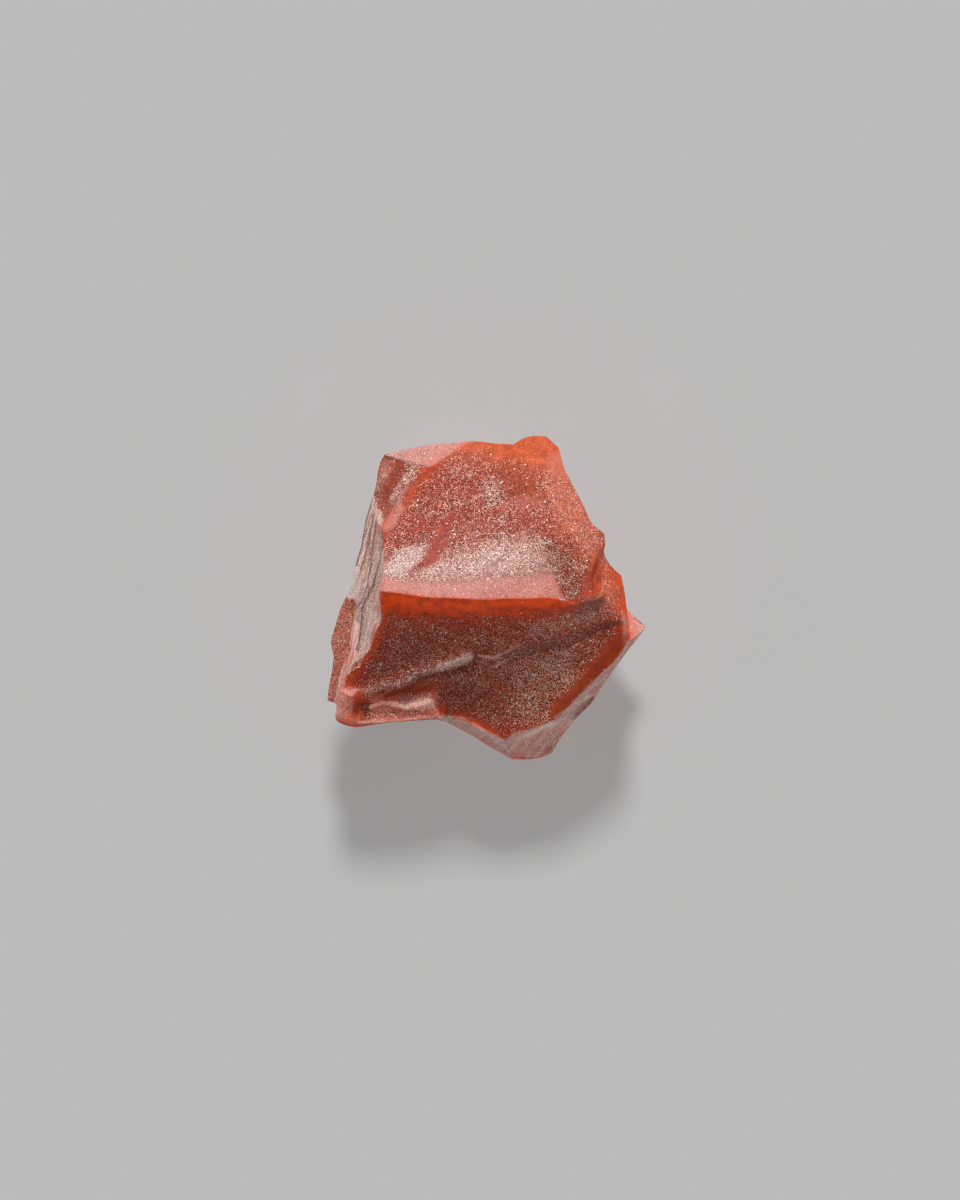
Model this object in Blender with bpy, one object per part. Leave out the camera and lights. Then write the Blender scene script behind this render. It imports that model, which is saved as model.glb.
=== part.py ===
# Red jasper: one rough lump of stone, broken on every side, that lies on a flat fracture face.
# X runs to the right and Y up as the stone is seen from above. Z is up, with the surface it lies on at 0.

import math

import bmesh
import bpy
import numpy as np
from mathutils import Matrix, Vector, noise
from mathutils.geometry import delaunay_2d_cdt

# Overall size of the lump, in metres
LUMP_WIDTH = 0.0479
LUMP_DEPTH = 0.0488
LUMP_HEIGHT = 0.0310

# Everything below, down to the materials, is in millimetres
FACET_SPACING = 1.3
CLEAR_OF_EDGE = 0.6 * FACET_SPACING
WELD_DISTANCE = 0.0001
STONE_HEART = Vector((0.0, 0.0, 12.0))

# Uneven break of every edge and face, fading out to nothing at the flat base
BREAK_DEPTH = 0.16
BREAK_LENGTH = 3.2
BREAK_FADE_HEIGHT = 2.0
BREAK_SEED = 3

# Corners where three or more edges of the stone meet
CORNERS = {
    # Main ridge and the small grey leaf at its right end
    "ridge_west": (-15.9, 1.0, 31.0),
    "ridge_bend": (12.1, -0.3, 28.4),
    "step_root": (13.7, -0.4, 27.6),
    "leaf_tip": (17.1, 0.3, 24.8),
    # Upper edge of the stone, from the top left corner round to the right
    "crown_west": (-15.35, 21.6, 20.6),
    "crown_inner": (-8.8, 19.7, 22.2),
    "crown_apex": (-2.4, 23.5, 20.9),
    "crown_east": (10.7, 22.5, 20.2),
    "notch_top": (17.7, 7.8, 24.0),
    "notch_foot": (17.4, 6.6, 23.1),
    "upper_tip": (17.5, 9.7, 24.2),
    "shoulder_end": (21.0, -1.5, 21.6),
    # Points inside the upper face where its gentle bends meet
    "sheen_west": (-15.3, 4.1, 29.9),
    "sheen_step": (-10.2, 5.0, 29.7),
    "sheen_east": (7.2, 8.7, 28.2),
    "step_fade": (-5.6, 13.2, 26.2),
    "border_bend": (-12.3, 15.0, 24.7),
    "border_corner": (-15.4, 10.4, 27.0),
    # Left walls
    "left_shoulder": (-18.1, 12.6, 16.8),
    "left_waist": (-20.1, 2.0, 18.6),
    "left_merge": (-20.0, -4.3, 17.6),
    "flap_corner": (-24.0, -15.4, 11.6),
    "tail_low": (-22.4, -15.9, 13.2),
    "tail_top": (-22.4, -15.8, 18.3),
    # Lower face, with the crest that runs across it
    "crest_back_west": (-21.7, -12.1, 20.5),
    "crest_brink_west": (-22.0, -14.0, 19.7),
    "crest_back_east": (-2.4, -7.9, 24.5),
    "crest_brink_east": (-2.2, -9.3, 24.1),
    "crest_foot_east": (-2.1, -10.4, 22.9),
    "fade_east": (21.2, -3.6, 21.1),
    "lower_right": (21.5, -6.0, 20.3),
    "lower_notch": (10.5, -18.3, 17.0),
    "lower_point": (2.6, -21.1, 15.9),
    "lower_hip": (-7.6, -18.2, 17.6),
    "lower_tip": (-22.6, -18.4, 17.0),
    "lip_west": (-22.5, -17.0, 17.7),
    "lip_east": (-6.5, -16.7, 18.5),
    # Small faces under the right and bottom edges
    "wing_root": (20.6, -1.3, 9.8),
    "wing_tip": (23.95, -4.4, 10.1),
    "wing_back": (21.6, -6.4, 11.2),
    "chin_east": (13.1, -18.4, 10.0),
    "chin_corner": (9.8, -23.3, 7.2),
    "chin_valley": (3.2, -22.5, 10.0),
    "chin_base": (3.6, -24.3, 5.6),
    # Corners half way down the underside
    "under_nw": (-14.8, 14.8, 6.6),
    "under_n": (-2.8, 19.4, 9.8),
    "under_e": (17.6, 6.2, 10.4),
    "under_se": (17.6, -5.2, 4.4),
    "under_s_east": (12.6, -14.2, 4.8),
    "under_s": (2.9, -19.0, 2.6),
    "under_sw": (-18.4, -12.6, 5.4),
    "under_w": (-17.4, 4.6, 9.8),
    # Flat base
    "base_w": (-13.4, 4.2, 0.0),
    "base_n": (-4.2, 13.0, 0.0),
    "base_ne": (10.0, 9.6, 0.0),
    "base_e": (12.6, -4.4, 0.0),
    "base_s": (3.2, -12.8, 0.0),
    "base_sw": (-10.8, -8.6, 0.0),
}

# Edges and soft bends: first corner, the points that it passes through, last corner
LINES = {
    # Main ridge
    "ridge": ("ridge_west", (-9.3, 0.2, 31.0), (-1.0, -0.3, 30.8), (7.9, 0.0, 29.9), "ridge_bend"),
    "ridge_step": ("ridge_bend", "step_root"),
    "leaf_top": ("step_root", (15.1, -0.1, 26.7), "leaf_tip"),
    "leaf_foot": ("ridge_bend", (13.2, -2.0, 26.5), (15.3, -1.5, 25.5), "leaf_tip"),
    # Upper edge of the stone
    "crown_left": ("crown_west", (-7.2, 23.2, 20.9), "crown_apex"),
    "crown_middle": ("crown_apex", (2.1, 23.1, 20.4), (3.9, 23.1, 20.1), (5.5, 24.1, 19.5),
                     (6.9, 24.4, 19.2), (9.0, 24.15, 19.3), "crown_east"),
    "crown_right": ("crown_east", (11.75, 19.0, 21.8), (14.6, 13.5, 23.9), (15.6, 11.2, 24.4),
                    "upper_tip"),
    "upper_nose": ("upper_tip", "notch_top"),
    "notch_edge": ("notch_top", "notch_foot"),
    "shoulder": ("notch_foot", (17.6, 5.8, 23.0), (18.3, 4.9, 22.8), (19.6, 3.9, 22.4),
                 (20.15, 3.4, 22.2), (20.65, 0.9, 22.0), "shoulder_end"),
    # Pink lit triangle at the top left
    "triangle_left": ("crown_west", (-13.9, 21.0, 21.0), (-11.4, 20.4, 21.6), "crown_inner"),
    "triangle_right": ("crown_inner", (-6.3, 21.8, 21.5), "crown_apex"),
    # Left border of the upper face
    "border_top": ("crown_inner", (-11.4, 17.0, 23.7), "border_bend"),
    "border_middle": ("border_bend", (-13.8, 12.7, 25.8), "border_corner"),
    "border_low": ("border_corner", (-15.3, 6.2, 29.0), "sheen_west"),
    "border_end": ("sheen_west", "ridge_west"),
    # Gentle bends of the upper face
    "sheen_left": ("sheen_west", (-13.0, 4.9, 29.8), "sheen_step"),
    "sheen_middle": ("sheen_step", (-6.3, 6.5, 29.0), (-1.8, 7.6, 28.6), (4.2, 8.6, 28.2),
                     "sheen_east"),
    "face_step": ("sheen_step", (-8.1, 9.1, 28.2), "step_fade"),
    "step_top_bend": ("step_fade", (-9.0, 14.4, 25.3), "border_bend"),
    "right_crease": ("ridge_bend", (10.2, 3.1, 28.6), (8.7, 5.7, 28.6), "sheen_east"),
    "right_bend": ("sheen_east", (11.0, 11.2, 26.7), (14.0, 11.2, 25.4), "upper_tip"),
    # Step at the right end of the upper face
    "step_brink": ("notch_top", (17.1, 8.1, 24.1), (15.5, 3.8, 26.2), (14.2, 1.8, 27.1),
                   "step_root"),
    "step_foot": ("notch_foot", (15.9, 3.5, 23.9), (16.1, 1.8, 24.3), "leaf_tip"),
    # Left border of the lower face
    "edge_upper": ("ridge_west", (-16.1, -0.4, 30.3), (-15.8, -2.4, 29.0), (-15.8, -3.9, 27.8),
                   (-16.6, -4.7, 27.0), (-17.1, -5.7, 26.2), (-17.2, -6.9, 25.3),
                   (-17.4, -7.9, 24.5), (-18.2, -8.6, 23.8), (-18.7, -9.4, 23.1),
                   (-19.1, -10.4, 22.3), (-20.0, -10.8, 21.7), (-21.4, -11.7, 20.8),
                   "crest_back_west"),
    "edge_band": ("crest_back_west", "crest_brink_west"),
    "edge_wall": ("crest_brink_west", "tail_top"),
    "edge_tip": ("tail_top", "lip_west"),
    "edge_tip_low": ("lip_west", "lower_tip"),
    # Crest across the lower face: back of its flat top, brink, and foot of its drop
    "crest_back": ("crest_back_west", (-18.5, -12.9, 20.7), (-15.7, -12.6, 21.0),
                   (-10.0, -10.2, 22.7), (-5.4, -8.7, 24.1), "crest_back_east"),
    "crest_brink": ("crest_brink_west", (-18.8, -15.0, 19.9), (-15.7, -14.3, 20.4),
                    (-10.0, -11.8, 22.3), (-5.4, -10.3, 23.6), "crest_brink_east"),
    "crest_foot": ("tail_top", (-17.2, -15.7, 18.2), (-13.0, -14.7, 18.5), (-9.3, -13.3, 19.8),
                   (-5.5, -11.9, 21.7), "crest_foot_east"),
    "crest_end_top": ("crest_back_east", "crest_brink_east"),
    "crest_end_foot": ("crest_brink_east", "crest_foot_east"),
    # Curved step that carries the crest on to the right
    "scar_brink": ("crest_back_east", (-1.6, -8.6, 23.5), (-0.4, -8.8, 23.5), (0.9, -8.7, 23.7),
                   (2.0, -8.2, 24.0), (3.3, -7.5, 24.4), (4.7, -7.0, 24.7), (6.0, -6.1, 25.2),
                   (8.0, -6.4, 24.7), (11.0, -6.0, 24.2), (13.2, -5.6, 23.8), (18.5, -3.8, 22.4),
                   "fade_east"),
    "scar_foot": ("crest_foot_east", (-1.3, -9.8, 22.6), (0.4, -10.0, 22.3), (1.8, -9.9, 22.4),
                  (2.9, -9.3, 22.9), (3.9, -8.6, 23.3), (4.9, -7.9, 23.7), (8.0, -7.6, 23.5),
                  (13.2, -6.7, 22.7), (18.5, -4.6, 21.7), "fade_east"),
    "bowl_bend": ("crest_foot_east", (-4.8, -14.0, 19.8), "lip_east"),
    "bowl_bend_low": ("lip_east", "lower_hip"),
    "lip_roll": ("lip_west", (-19.4, -17.2, 18.4), (-15.0, -16.8, 18.7), (-10.6, -16.5, 18.8),
                 "lip_east"),
    # Right and bottom edges of the lower face
    "rim_top": ("shoulder_end", "fade_east"),
    "rim_right": ("fade_east", "lower_right"),
    "rim_low": ("lower_right", (19.5, -9.1, 19.8), (16.8, -11.8, 19.2), (13.8, -14.6, 18.4),
                (11.4, -17.3, 17.4), "lower_notch"),
    "rim_chin": ("lower_notch", (8.4, -18.9, 16.8), (7.2, -19.4, 16.6), (5.3, -20.1, 16.2),
                 "lower_point"),
    "rim_belly": ("lower_point", (0.7, -20.3, 16.1), (-1.6, -19.3, 16.4), (-2.4, -18.7, 16.6),
                  (-3.7, -17.7, 17.0), (-5.7, -17.4, 17.2), "lower_hip"),
    "rim_left": ("lower_hip", (-11.7, -18.4, 18.2), (-14.8, -18.6, 18.2), (-17.9, -19.1, 17.9),
                 (-19.9, -19.45, 17.5), "lower_tip"),
    # Left walls
    "corner_side": ("crown_west", (-16.0, 20.5, 19.0), (-16.4, 18.7, 17.8), (-16.5, 17.8, 17.0),
                    (-17.4, 14.7, 16.8), "left_shoulder"),
    "corner_bend": ("border_corner", "left_shoulder"),
    "left_side": ("left_shoulder", (-18.65, 9.5, 17.5), (-19.35, 6.1, 18.3), (-20.0, 3.7, 18.6),
                  "left_waist"),
    "left_ledge": ("border_corner", (-16.1, 6.9, 25.4), (-16.8, 3.8, 24.6), (-18.0, 0.2, 23.4),
                   (-18.8, -1.6, 21.8), "left_merge"),
    "left_line_top": ("left_waist", (-19.8, -0.7, 18.4), "left_merge"),
    "left_line_low": ("left_merge", (-20.4, -6.9, 16.9), (-21.0, -9.3, 16.0), (-21.6, -10.8, 15.3),
                      (-22.3, -13.8, 13.9), "tail_low"),
    "left_flap": ("left_waist", (-20.9, 0.9, 17.2), (-22.0, -1.5, 15.4), (-23.65, -6.7, 13.6),
                  (-23.15, -8.8, 13.9), (-23.25, -10.5, 13.4), (-23.9, -13.2, 12.0),
                  "flap_corner"),
    "flap_end": ("flap_corner", "tail_low"),
    "tail": ("tail_top", "tail_low"),
    # Small faces under the right edge
    "wing_top": ("wing_root", "wing_tip"),
    "wing_low": ("wing_tip", "wing_back"),
    "wing_inner": ("wing_back", "wing_root"),
    "wing_wall_a": ("shoulder_end", "wing_root"),
    "wing_wall_b": ("lower_right", "wing_back"),
    "strip_low": ("wing_tip", (22.8, -6.0, 9.7), (19.2, -10.5, 9.3), (17.1, -13.8, 9.4),
                  (15.4, -16.2, 9.7), "chin_east"),
    "strip_end": ("lower_notch", "chin_east"),
    # Small faces under the bottom edge
    "chin_side": ("chin_east", (10.9, -21.5, 8.2), "chin_corner"),
    "chin_bend": ("chin_corner", (6.4, -23.0, 8.6), "chin_valley"),
    "valley": ("lower_point", "chin_valley"),
    "chin_front": ("chin_corner", (8.4, -24.0, 6.0), (6.2, -24.45, 5.4), "chin_base"),
    "chin_fold": ("chin_base", (2.6, -23.5, 7.0), "chin_valley"),
    "belly_bend": ("lower_hip", (-3.6, -18.9, 14.2), (-0.3, -20.8, 11.9), "chin_valley"),
    "belly_low": ("lower_hip", (-5.8, -18.7, 14.4), (-3.2, -20.2, 11.4), (1.9, -23.2, 7.4),
                  "chin_base"),
    # Edges that run down the underside
    "fall_crown_west": ("crown_west", (-15.2, 19.2, 13.6), "under_nw"),
    "fall_crown_apex": ("crown_apex", (-2.0, 22.4, 15.4), "under_n"),
    "fall_crown_east": ("crown_east", (10.9, 19.8, 12.6), (10.2, 14.9, 5.8), "base_ne"),
    "fall_notch": ("notch_top", (17.2, 6.9, 16.6), "under_e"),
    "fall_waist": ("left_waist", "under_w"),
    "fall_flap": ("flap_corner", "under_sw"),
    "fall_lower_tip": ("lower_tip", "under_sw"),
    "fall_hip": ("lower_hip", (-8.6, -16.0, 9.4), (-9.6, -12.4, 3.8), "base_sw"),
    "fall_chin": ("chin_base", "under_s"),
    "fall_chin_east": ("chin_east", "under_s_east"),
    "fall_wing": ("wing_tip", "under_se"),
    "fall_root": ("wing_root", "under_e"),
    # Edges that run round the underside
    "belt_nw": ("under_w", (-16.4, 9.6, 9.0), "under_nw"),
    "belt_n": ("under_nw", (-8.6, 17.9, 8.8), "under_n"),
    "belt_e": ("under_e", (18.3, 0.3, 6.6), "under_se"),
    "belt_se": ("under_se", (15.8, -9.8, 3.8), "under_s_east"),
    "belt_s": ("under_s_east", "under_s"),
    "belt_w": ("under_sw", (-19.4, -4.4, 8.8), "under_w"),
    # Edges from those corners to the base
    "foot_w": ("under_w", "base_w"),
    "foot_nw": ("under_nw", "base_n"),
    "foot_n": ("under_n", "base_n"),
    "foot_ne": ("under_e", (14.3, 8.1, 4.6), "base_ne"),
    "foot_e": ("under_se", "base_e"),
    "foot_se": ("under_s_east", "base_s"),
    "foot_s": ("under_s", "base_s"),
    "foot_sw": ("under_sw", "base_sw"),
    # Outline of the base
    "base_side_nw": ("base_w", (-9.4, 8.0, 0.0), "base_n"),
    "base_side_n": ("base_n", (3.4, 12.4, 0.0), "base_ne"),
    "base_side_e": ("base_ne", "base_e"),
    "base_side_se": ("base_e", (8.8, -9.0, 0.0), "base_s"),
    "base_side_s": ("base_s", (-4.2, -10.2, 0.0), "base_sw"),
    "base_side_w": ("base_sw", "base_w"),
}

# Bends that aren't broken edges: the surface rolls over them
SOFT_LINES = {
    "sheen_left", "sheen_middle", "face_step", "step_top_bend", "right_bend", "right_crease",
    "bowl_bend", "bowl_bend_low", "lip_roll", "crest_back", "belly_bend", "left_ledge",
}

# How far to each side of a soft bend the surface is rounded, in points, and how often
SOFT_RINGS = 2
SOFT_ROUNDS = 4

# Fracture faces: how far the middle stands out (or, if negative, is hollow), and the lines round it
FACES = {
    "sheen_band": (0.25, "ridge", "right_crease", "sheen_middle", "sheen_left", "border_end"),
    "west_patch": (0.15, "sheen_left", "face_step", "step_top_bend", "border_middle", "border_low"),
    "upper_face": (0.30, "sheen_middle", "right_bend", "crown_right", "crown_middle",
                   "triangle_right", "border_top", "step_top_bend", "face_step"),
    "right_face": (0.15, "ridge_step", "step_brink", "upper_nose", "right_bend", "right_crease"),
    "right_step": (-0.15, "step_brink", "notch_edge", "step_foot", "leaf_top"),
    "grey_leaf": (0.0, "ridge_step", "leaf_top", "leaf_foot"),
    "lit_triangle": (0.0, "crown_left", "triangle_left", "triangle_right"),
    "lower_upper": (-0.35, "ridge", "leaf_foot", "step_foot", "shoulder", "rim_top", "scar_brink",
                    "crest_back", "edge_upper"),
    "crest_top": (0.10, "crest_back", "crest_end_top", "crest_brink", "edge_band"),
    "crest_drop": (-0.10, "crest_brink", "crest_end_foot", "crest_foot", "edge_wall"),
    "scar_drop": (-0.05, "scar_brink", "scar_foot", "crest_end_foot", "crest_end_top"),
    "lower_bowl": (-0.50, "scar_foot", "rim_right", "rim_low", "rim_chin", "rim_belly",
                   "bowl_bend_low", "bowl_bend"),
    "lip_hollow": (-0.30, "crest_foot", "bowl_bend", "lip_roll", "edge_tip"),
    "lip_front": (0.10, "lip_roll", "bowl_bend_low", "rim_left", "edge_tip_low"),
    "corner_face": (-0.30, "triangle_left", "border_top", "border_middle", "corner_bend",
                    "corner_side"),
    "left_outer": (-0.20, "corner_bend", "left_ledge", "left_line_top", "left_side"),
    "left_inner": (-0.30, "border_low", "border_end", "edge_upper", "edge_band", "edge_wall",
                   "tail", "left_line_low", "left_ledge"),
    "left_flap_face": (0.15, "left_line_top", "left_line_low", "flap_end", "left_flap"),
    "wing": (0.0, "wing_top", "wing_low", "wing_inner"),
    "wing_wall": (-0.20, "rim_top", "rim_right", "wing_wall_b", "wing_inner", "wing_wall_a"),
    "strip": (-0.25, "rim_low", "strip_end", "strip_low", "wing_low", "wing_wall_b"),
    "chin": (-0.15, "rim_chin", "valley", "chin_bend", "chin_side", "strip_end"),
    "chin_band": (0.10, "chin_bend", "chin_fold", "chin_front"),
    "belly_top": (-0.10, "rim_belly", "belly_bend", "valley"),
    "belly": (0.05, "belly_bend", "belly_low", "chin_fold"),
    "back_west": (-0.60, "crown_left", "fall_crown_apex", "belt_n", "fall_crown_west"),
    "back": (-1.30, "crown_middle", "fall_crown_east", "base_side_n", "foot_n",
             "fall_crown_apex"),
    "back_east": (-0.90, "crown_right", "upper_nose", "fall_notch", "foot_ne",
                  "fall_crown_east"),
    "under_shoulder": (-0.50, "notch_edge", "shoulder", "wing_wall_a", "fall_root",
                       "fall_notch"),
    "under_wing": (-0.20, "wing_top", "fall_wing", "belt_e", "fall_root"),
    "under_strip": (-0.50, "strip_low", "fall_chin_east", "belt_se", "fall_wing"),
    "under_chin": (-0.30, "chin_side", "chin_front", "fall_chin", "belt_s", "fall_chin_east"),
    "under_belly": (-0.90, "belly_low", "fall_chin", "foot_s", "base_side_s", "fall_hip"),
    "under_lip": (-0.70, "rim_left", "fall_hip", "foot_sw", "fall_lower_tip"),
    "under_tip": (-0.10, "edge_tip", "edge_tip_low", "fall_lower_tip", "fall_flap", "flap_end", "tail"),
    "under_flap": (-0.60, "left_flap", "fall_flap", "belt_w", "fall_waist"),
    "under_left": (-0.50, "corner_side", "left_side", "fall_waist", "belt_nw",
                   "fall_crown_west"),
    "low_nw": (0.30, "belt_nw", "foot_nw", "base_side_nw", "foot_w"),
    "low_n": (-0.30, "belt_n", "foot_n", "foot_nw"),
    "low_e": (-0.40, "belt_e", "foot_e", "base_side_e", "foot_ne"),
    "low_se": (0.30, "belt_se", "foot_se", "base_side_se", "foot_e"),
    "low_s": (0.0, "belt_s", "foot_s", "foot_se"),
    "low_w": (-0.50, "belt_w", "foot_w", "base_side_w", "foot_sw"),
    "base": (0.0, "base_side_nw", "base_side_n", "base_side_e", "base_side_se", "base_side_s",
             "base_side_w"),
}

# Ripples that spread over a fracture face: where the blow fell, length and depth of the waves
RIPPLES = {
    "upper_face": ((-6.0, 26.0, 20.0), 6.0, 0.06),
    "lower_bowl": ((12.0, -4.0, 24.0), 5.2, 0.07),
    "back": ((4.0, 24.5, 19.0), 5.4, 0.20),
    "back_east": ((11.0, 22.0, 18.0), 5.0, 0.16),
    "back_west": ((-15.0, 21.0, 16.0), 4.8, 0.14),
    "under_belly": ((2.0, -22.5, 6.0), 5.4, 0.18),
    "under_lip": ((-21.0, -18.0, 14.0), 4.6, 0.14),
    "under_flap": ((-21.0, 0.0, 16.0), 5.0, 0.16),
    "under_left": ((-16.0, 20.0, 14.0), 4.8, 0.14),
    "under_strip": ((22.0, -6.0, 8.0), 4.6, 0.13),
    "under_shoulder": ((19.0, 4.0, 21.0), 5.0, 0.15),
    "low_w": ((-17.0, 4.0, 9.0), 4.6, 0.13),
    "low_e": ((17.0, 6.0, 10.0), 4.6, 0.13),
    "left_inner": ((-16.0, 3.0, 29.0), 4.6, 0.10),
}

# Ripples wander by this much over this length, and die out towards the rim of their face
RIPPLE_WANDER = 1.6
RIPPLE_WANDER_LENGTH = 6.0
RIPPLE_FADE = 2.5

# Colour of the stone
JASPER_RED = (0.38, 0.075, 0.035, 1.0)
JASPER_ROUGHNESS = 0.45


def clear_scene():
    for thing in list(bpy.data.objects):
        bpy.data.objects.remove(thing, do_unlink=True)


def place(point):
    """A line's point as a vector: a corner's name, or the coordinates themselves."""
    return Vector(CORNERS[point]) if isinstance(point, str) else Vector(point)


def line_points(name):
    """The line's points, close enough together for the faces beside it."""
    stops = [place(point) for point in LINES[name]]
    points = [stops[0]]
    for start, end in zip(stops, stops[1:]):
        pieces = max(1, round((end - start).length / FACET_SPACING))
        points += [start.lerp(end, step / pieces) for step in range(1, pieces + 1)]
    return points


def loop_points(lines):
    """One closed loop of points from a face's lines, each line turned to follow the one before."""
    loop = line_points(lines[0])
    following = line_points(lines[1])
    if min((loop[0] - end).length for end in (following[0], following[-1])) < WELD_DISTANCE:
        loop.reverse()
    for name in lines[1:]:
        points = line_points(name)
        if (points[0] - loop[-1]).length > WELD_DISTANCE:
            points.reverse()
        if (points[0] - loop[-1]).length > WELD_DISTANCE:
            raise ValueError(f"line {name} doesn't meet the line before it")
        loop += points[1:]
    return loop[:-1]


def outward_axes(loop):
    """Two axes in the loop's mean plane, and the direction out of the stone."""
    middle = sum(loop, Vector()) / len(loop)
    outward = Vector()
    for here, after in zip(loop, loop[1:] + loop[:1]):
        outward += (here - middle).cross(after - middle)
    outward.normalize()
    if outward.dot(middle - STONE_HEART) < 0:
        outward.negate()
    across = outward.orthogonal().normalized()
    return middle, across, outward.cross(across), outward


def distance_to_outline(point, flat):
    """How far a point in the face's plane is from its outline, and whether it is inside."""
    nearest = math.inf
    inside = False
    for a, b in zip(flat, flat[1:] + flat[:1]):
        side = b - a
        along = max(0.0, min(1.0, (point - a).dot(side) / side.length_squared))
        nearest = min(nearest, (point - (a + side * along)).length)
        if (a.y > point.y) != (b.y > point.y):
            if point.x < a.x + (point.y - a.y) / (b.y - a.y) * (b.x - a.x):
                inside = not inside
    return nearest if inside else -nearest


def grid_inside(flat):
    """Evenly spaced points inside the outline, in rows set off by half a space."""
    low_x = min(p.x for p in flat)
    high_x = max(p.x for p in flat)
    low_y = min(p.y for p in flat)
    high_y = max(p.y for p in flat)
    row_height = FACET_SPACING * math.sqrt(0.75)
    points = []
    for row in range(math.ceil((high_y - low_y) / row_height)):
        offset = 0.5 * FACET_SPACING * (row % 2)
        for column in range(math.ceil((high_x - low_x) / FACET_SPACING) + 1):
            point = Vector((low_x + offset + column * FACET_SPACING, low_y + row * row_height))
            if distance_to_outline(point, flat) > CLEAR_OF_EDGE:
                points.append(point)
    return points


def relaxed(heights, fixed, links, push, rounds=400):
    """Heights settled like a skin stretched from the fixed points, with an even push on the rest."""
    counts = np.bincount(links[:, 0], minlength=len(heights)).astype(float)
    for _ in range(rounds):
        total = np.bincount(links[:, 0], weights=heights[links[:, 1]], minlength=len(heights))
        heights = np.where(fixed, heights, total / counts + push)
    return heights


def ripple(point, waves):
    """How far a face's ripples lift it at this point."""
    blow, length, depth = waves
    distance = (point - Vector(blow)).length
    distance += RIPPLE_WANDER * noise.noise(point / RIPPLE_WANDER_LENGTH)
    return depth * math.cos(math.tau * distance / length)


def add_face(bm, bulge, lines, waves=None):
    """A fracture face: a stretched skin across its lines, standing out or hollow in the middle."""
    loop = loop_points(lines)
    middle, across, along, outward = outward_axes(loop)
    flat = [Vector(((p - middle).dot(across), (p - middle).dot(along))) for p in loop]
    inner = grid_inside(flat)
    points, _, triangles, sources, _, _ = delaunay_2d_cdt(
        flat + inner, [], [list(range(len(loop)))], 1, WELD_DISTANCE
    )
    count = len(points)
    fixed = np.zeros(count, bool)
    heights = np.zeros(count)
    for index, source in enumerate(sources):
        if not source:
            raise ValueError(f"the lines {lines} cross each other")
        if source[0] < len(loop):
            fixed[index] = True
            heights[index] = (loop[source[0]] - middle).dot(outward)
    links = [(t[i], t[i - 1]) for t in triangles for i in range(3)]
    links = np.array(links + [(b, a) for a, b in links])
    heights = relaxed(heights, fixed, links, 0.0)
    dome = relaxed(np.zeros(count), fixed, links, 1.0)
    dome /= max(dome.max(), 1.0)
    made = []
    for index, source in enumerate(sources):
        if fixed[index]:
            made.append(bm.verts.new(loop[source[0]]))
            continue
        point = middle + across * points[index].x + along * points[index].y
        point += outward * (heights[index] + bulge * dome[index])
        if waves:
            point += outward * ripple(point, waves) * min(1.0, RIPPLE_FADE * dome[index])
        made.append(bm.verts.new(point))
    for triangle in triangles:
        bm.faces.new([made[index] for index in triangle])


def rounded(point):
    return tuple(round(value, 3) for value in point)


def points_of(names):
    return {rounded(point) for name in names for point in line_points(name)}


def roll_soft_bends(bm):
    """Rounds the bends that aren't broken edges, and leaves every broken edge where it is."""
    kept = points_of(name for name in LINES if name not in SOFT_LINES)
    bend = points_of(SOFT_LINES) - kept
    near = {v for v in bm.verts if rounded(v.co) in bend}
    for _ in range(SOFT_RINGS):
        near |= {edge.other_vert(v) for v in near for edge in v.link_edges}
    free = sorted((v for v in near if rounded(v.co) not in kept), key=lambda v: v.index)
    for _ in range(SOFT_ROUNDS):
        bmesh.ops.smooth_vert(bm, verts=free, factor=0.5, use_axis_x=True, use_axis_y=True,
                              use_axis_z=True)


def roughen(bm):
    """Moves every edge and face a little, as stone breaks, and leaves the base flat."""
    noise.seed_set(BREAK_SEED)
    for vert in bm.verts:
        fade = min(1.0, vert.co.z / BREAK_FADE_HEIGHT)
        push = noise.noise_vector(vert.co / BREAK_LENGTH) * BREAK_DEPTH
        vert.co += Vector((push.x, push.y, push.z * fade))


def fit_to_size(bm):
    """Scales the lump to its overall size, and stands it on the middle of its base."""
    corners = np.array([v.co for v in bm.verts])
    low = corners.min(axis=0)
    high = corners.max(axis=0)
    size = Vector((LUMP_WIDTH, LUMP_DEPTH, LUMP_HEIGHT))
    bottom_middle = Vector(((low[0] + high[0]) / 2, (low[1] + high[1]) / 2, low[2]))
    bmesh.ops.translate(bm, verts=bm.verts, vec=-bottom_middle)
    factors = [wanted / measured for wanted, measured in zip(size, high - low)]
    bmesh.ops.transform(bm, matrix=Matrix.Diagonal((*factors, 1.0)), verts=bm.verts)


def jasper_material():
    material = bpy.data.materials.new("jasper")
    material.use_nodes = True
    shader = material.node_tree.nodes["Principled BSDF"]
    shader.inputs["Base Color"].default_value = JASPER_RED
    shader.inputs["Roughness"].default_value = JASPER_ROUGHNESS
    shader.inputs["Metallic"].default_value = 0.0
    material.diffuse_color = JASPER_RED
    return material


def make_lump():
    bm = bmesh.new()
    for name, (bulge, *lines) in FACES.items():
        add_face(bm, bulge, lines, RIPPLES.get(name))
    bmesh.ops.remove_doubles(bm, verts=bm.verts, dist=WELD_DISTANCE)
    bm.verts.index_update()
    roll_soft_bends(bm)
    roughen(bm)
    fit_to_size(bm)
    bmesh.ops.recalc_face_normals(bm, faces=bm.faces)
    mesh = bpy.data.meshes.new("jasper_lump")
    bm.to_mesh(mesh)
    bm.free()
    mesh.materials.append(jasper_material())
    lump = bpy.data.objects.new("jasper_lump", mesh)
    bpy.context.scene.collection.objects.link(lump)
    return lump


clear_scene()
make_lump()
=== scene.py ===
import math

import bmesh
import bpy
import numpy as np
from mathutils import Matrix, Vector, noise
from mathutils.bvhtree import BVHTree
from mathutils.kdtree import KDTree


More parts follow.
